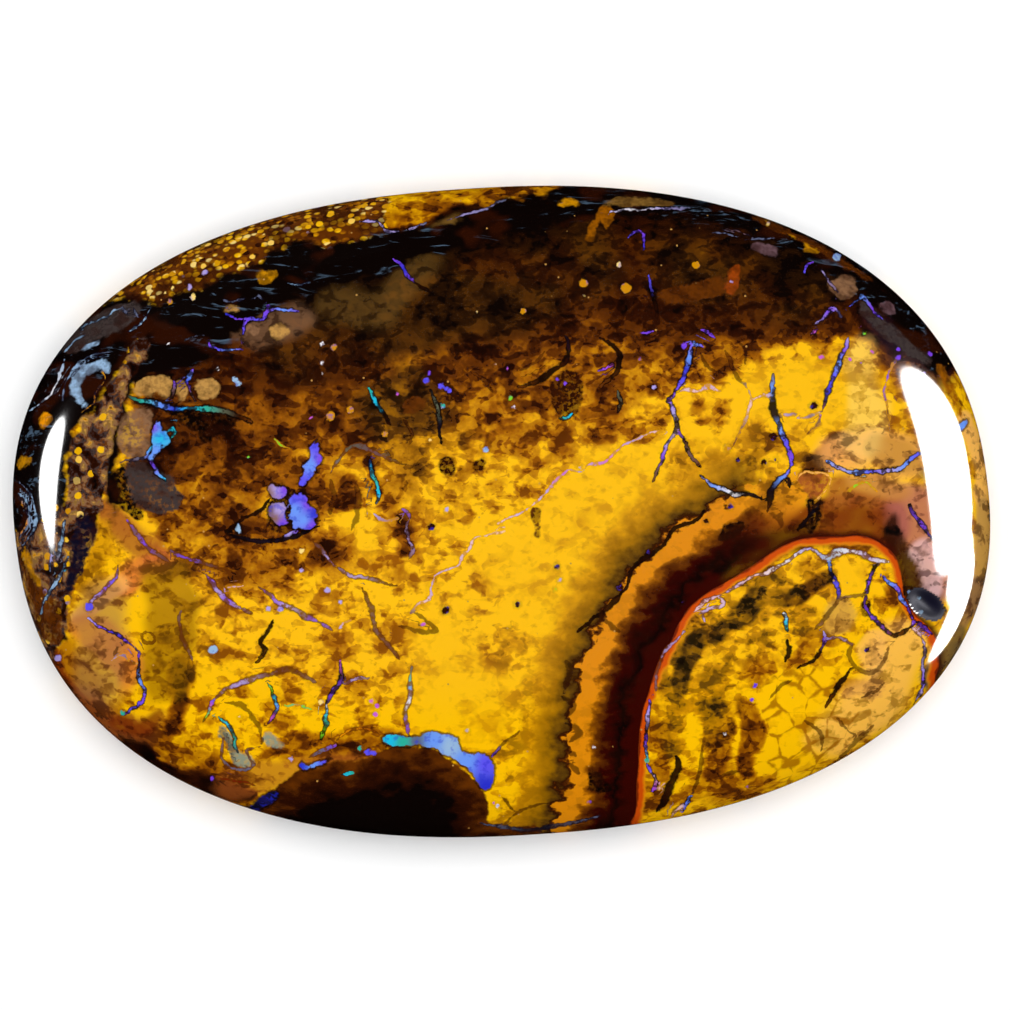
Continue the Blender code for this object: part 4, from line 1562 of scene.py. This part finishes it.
def addDust(tree, colour):  # tiny pale specks under the polish
    cells = tree.cells(tree.place, finish["dustSpacing"])
    here = tree.times(tree.fade(cells["Distance"], 0.08, 0.04), tree.fade(tree.picks(cells)[1], 0.6, 0.7))
    return tree.mix(here, colour, tone("tan"))


def stoneMaterial():
    material = bpy.data.materials.new("boulder_opal")
    tree = StoneTree(material)
    inSand = tree.fade(tree.ragged(tree.read("sandEdge"), 0.0, 10.0), 1.5, -1.5)
    grainHere, grainColour = largerGrains(tree)
    colour = groundColour(tree)
    colour = addNodule(tree, colour)
    colour = addPocket(tree, colour)
    colour = addSand(tree, colour, inSand, grainHere, grainColour)
    colour = addBand(tree, colour)
    colour = addRock(tree, colour, grainHere, grainColour)
    colour = addPatches(tree, colour)
    colour = addVeins(tree, colour)
    colour = addGems(tree, colour)
    colour = addDust(tree, colour)
    # The rim of the open pit, and the ground base: bare ironstone
    colour = tree.mix(tree.read("pit"), colour, tone("blackBlue"))
    back = tree.ramp(tree.noise(tree.banded, finish["backSize"], 6, 0.65, 0.5), "back")
    inBase = tree.fade(tree.ragged(tree.read("underside"), 0.3), 0.2, 0.35)
    colour = tree.mix(inBase, colour, back)
    roughness = tree.fade(inSand, 0.0, 1.0, finish["polish"], finish["sandPolish"])
    roughness = tree.calc("MAXIMUM", roughness, tree.times(inBase, finish["ground"]))
    tree.surface({"Base Color": colour, "Roughness": roughness, "IOR": finish["refraction"]})
    return material


def pitMaterial():  # black, with almost no polish, and a few painted glints: steel blue spots standing in for reflections
    material = bpy.data.materials.new("open_pit")
    tree = Tree(material)
    # Painted glints: the steel spots in the pit, standing in for reflections
    paintedGlint = tree.fade(tree.read("gemEdge"), 0.7, -0.7)
    colour = tree.mix(paintedGlint, tone("blackBlue"), tree.read("gemColour", "Color"))
    tree.surface({"Base Color": colour, "Roughness": finish["pit"], "Specular IOR Level": finish["pitShine"]})
    return material


# Studio: a pale floor, three joined lights on the right, a smaller one on the left, and soft fill from above
lights = {
    # azimuth and elevation in degrees, distance, width and height in metres, power in watts,
    # whether it lights the colour, and whether the polish mirrors it
    "rightBox": (9, 32, 0.16, 0.098, 0.15, 0.744, False, True),
    "rightJoin": (-9, 19, 0.16, 0.052, 0.085, 0.224, False, True),
    "rightTail": (-19, 8, 0.16, 0.078, 0.07, 0.28, False, True),
    "leftStrip": (174, 31, 0.14, 0.055, 0.05, 0.14, False, True),
    "topFill": (90, 86, 0.25, 0.25, 0.25, 0.77, True, False),
}
studio = {"floorColour": (0.95, 0.95, 0.95, 1), "floorSize": 1.6, "ambient": 0.12}


def makeLights():
    for name, (azimuth, elevation, distance, width, height, power, onColour, inPolish) in lights.items():
        data = bpy.data.lights.new(name, "AREA")
        data.shape = "ELLIPSE"
        data.size = width
        data.size_y = height
        data.energy = power
        obj = bpy.data.objects.new(name, data)
        turn, rise = math.radians(azimuth), math.radians(elevation)
        obj.location = (
            distance * math.cos(rise) * math.cos(turn),
            distance * math.cos(rise) * math.sin(turn),
            distance * math.sin(rise),
        )
        obj.rotation_euler = obj.location.to_track_quat("Z", "Y").to_euler()
        obj.visible_camera = False
        obj.visible_diffuse = onColour
        obj.visible_glossy = inPolish
        bpy.context.scene.collection.objects.link(obj)
    world = bpy.data.worlds.new("studio")
    world.use_nodes = True
    world.node_tree.nodes["Background"].inputs["Color"].default_value = (1, 1, 1, 1)
    world.node_tree.nodes["Background"].inputs["Strength"].default_value = studio["ambient"]
    world.cycles_visibility.glossy = False  # the room's own light makes no haze on the polish
    bpy.context.scene.world = world


def makeFloor():
    bm = bmesh.new()
    bmesh.ops.create_grid(bm, x_segments=1, y_segments=1, size=studio["floorSize"] / 2)
    mesh = bpy.data.meshes.new("floor")
    bm.to_mesh(mesh)
    bm.free()
    material = bpy.data.materials.new("pale_floor")
    tree = Tree(material)
    shader = tree.add("ShaderNodeBsdfPrincipled", {"Base Color": studio["floorColour"], "Roughness": 0.8})
    tree.add("ShaderNodeOutputMaterial", {"Surface": shader.outputs[0]})
    mesh.materials.append(material)
    floor = bpy.data.objects.new("floor", mesh)
    floor.visible_glossy = False
    bpy.context.scene.collection.objects.link(floor)


cabochon = buildStone()
print("stone modelled:", len(cabochon.data.vertices), "points")
paintStone(cabochon)
print("markings painted")
cabochon.data.materials.append(stoneMaterial())
cabochon.data.materials.append(pitMaterial())
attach(cabochon, "root")
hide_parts("opal_stone")
makeCamera()
makeLights()
makeFloor()
bpy.context.scene.view_settings.view_transform = "Standard"
print("material, camera, lights and floor made")
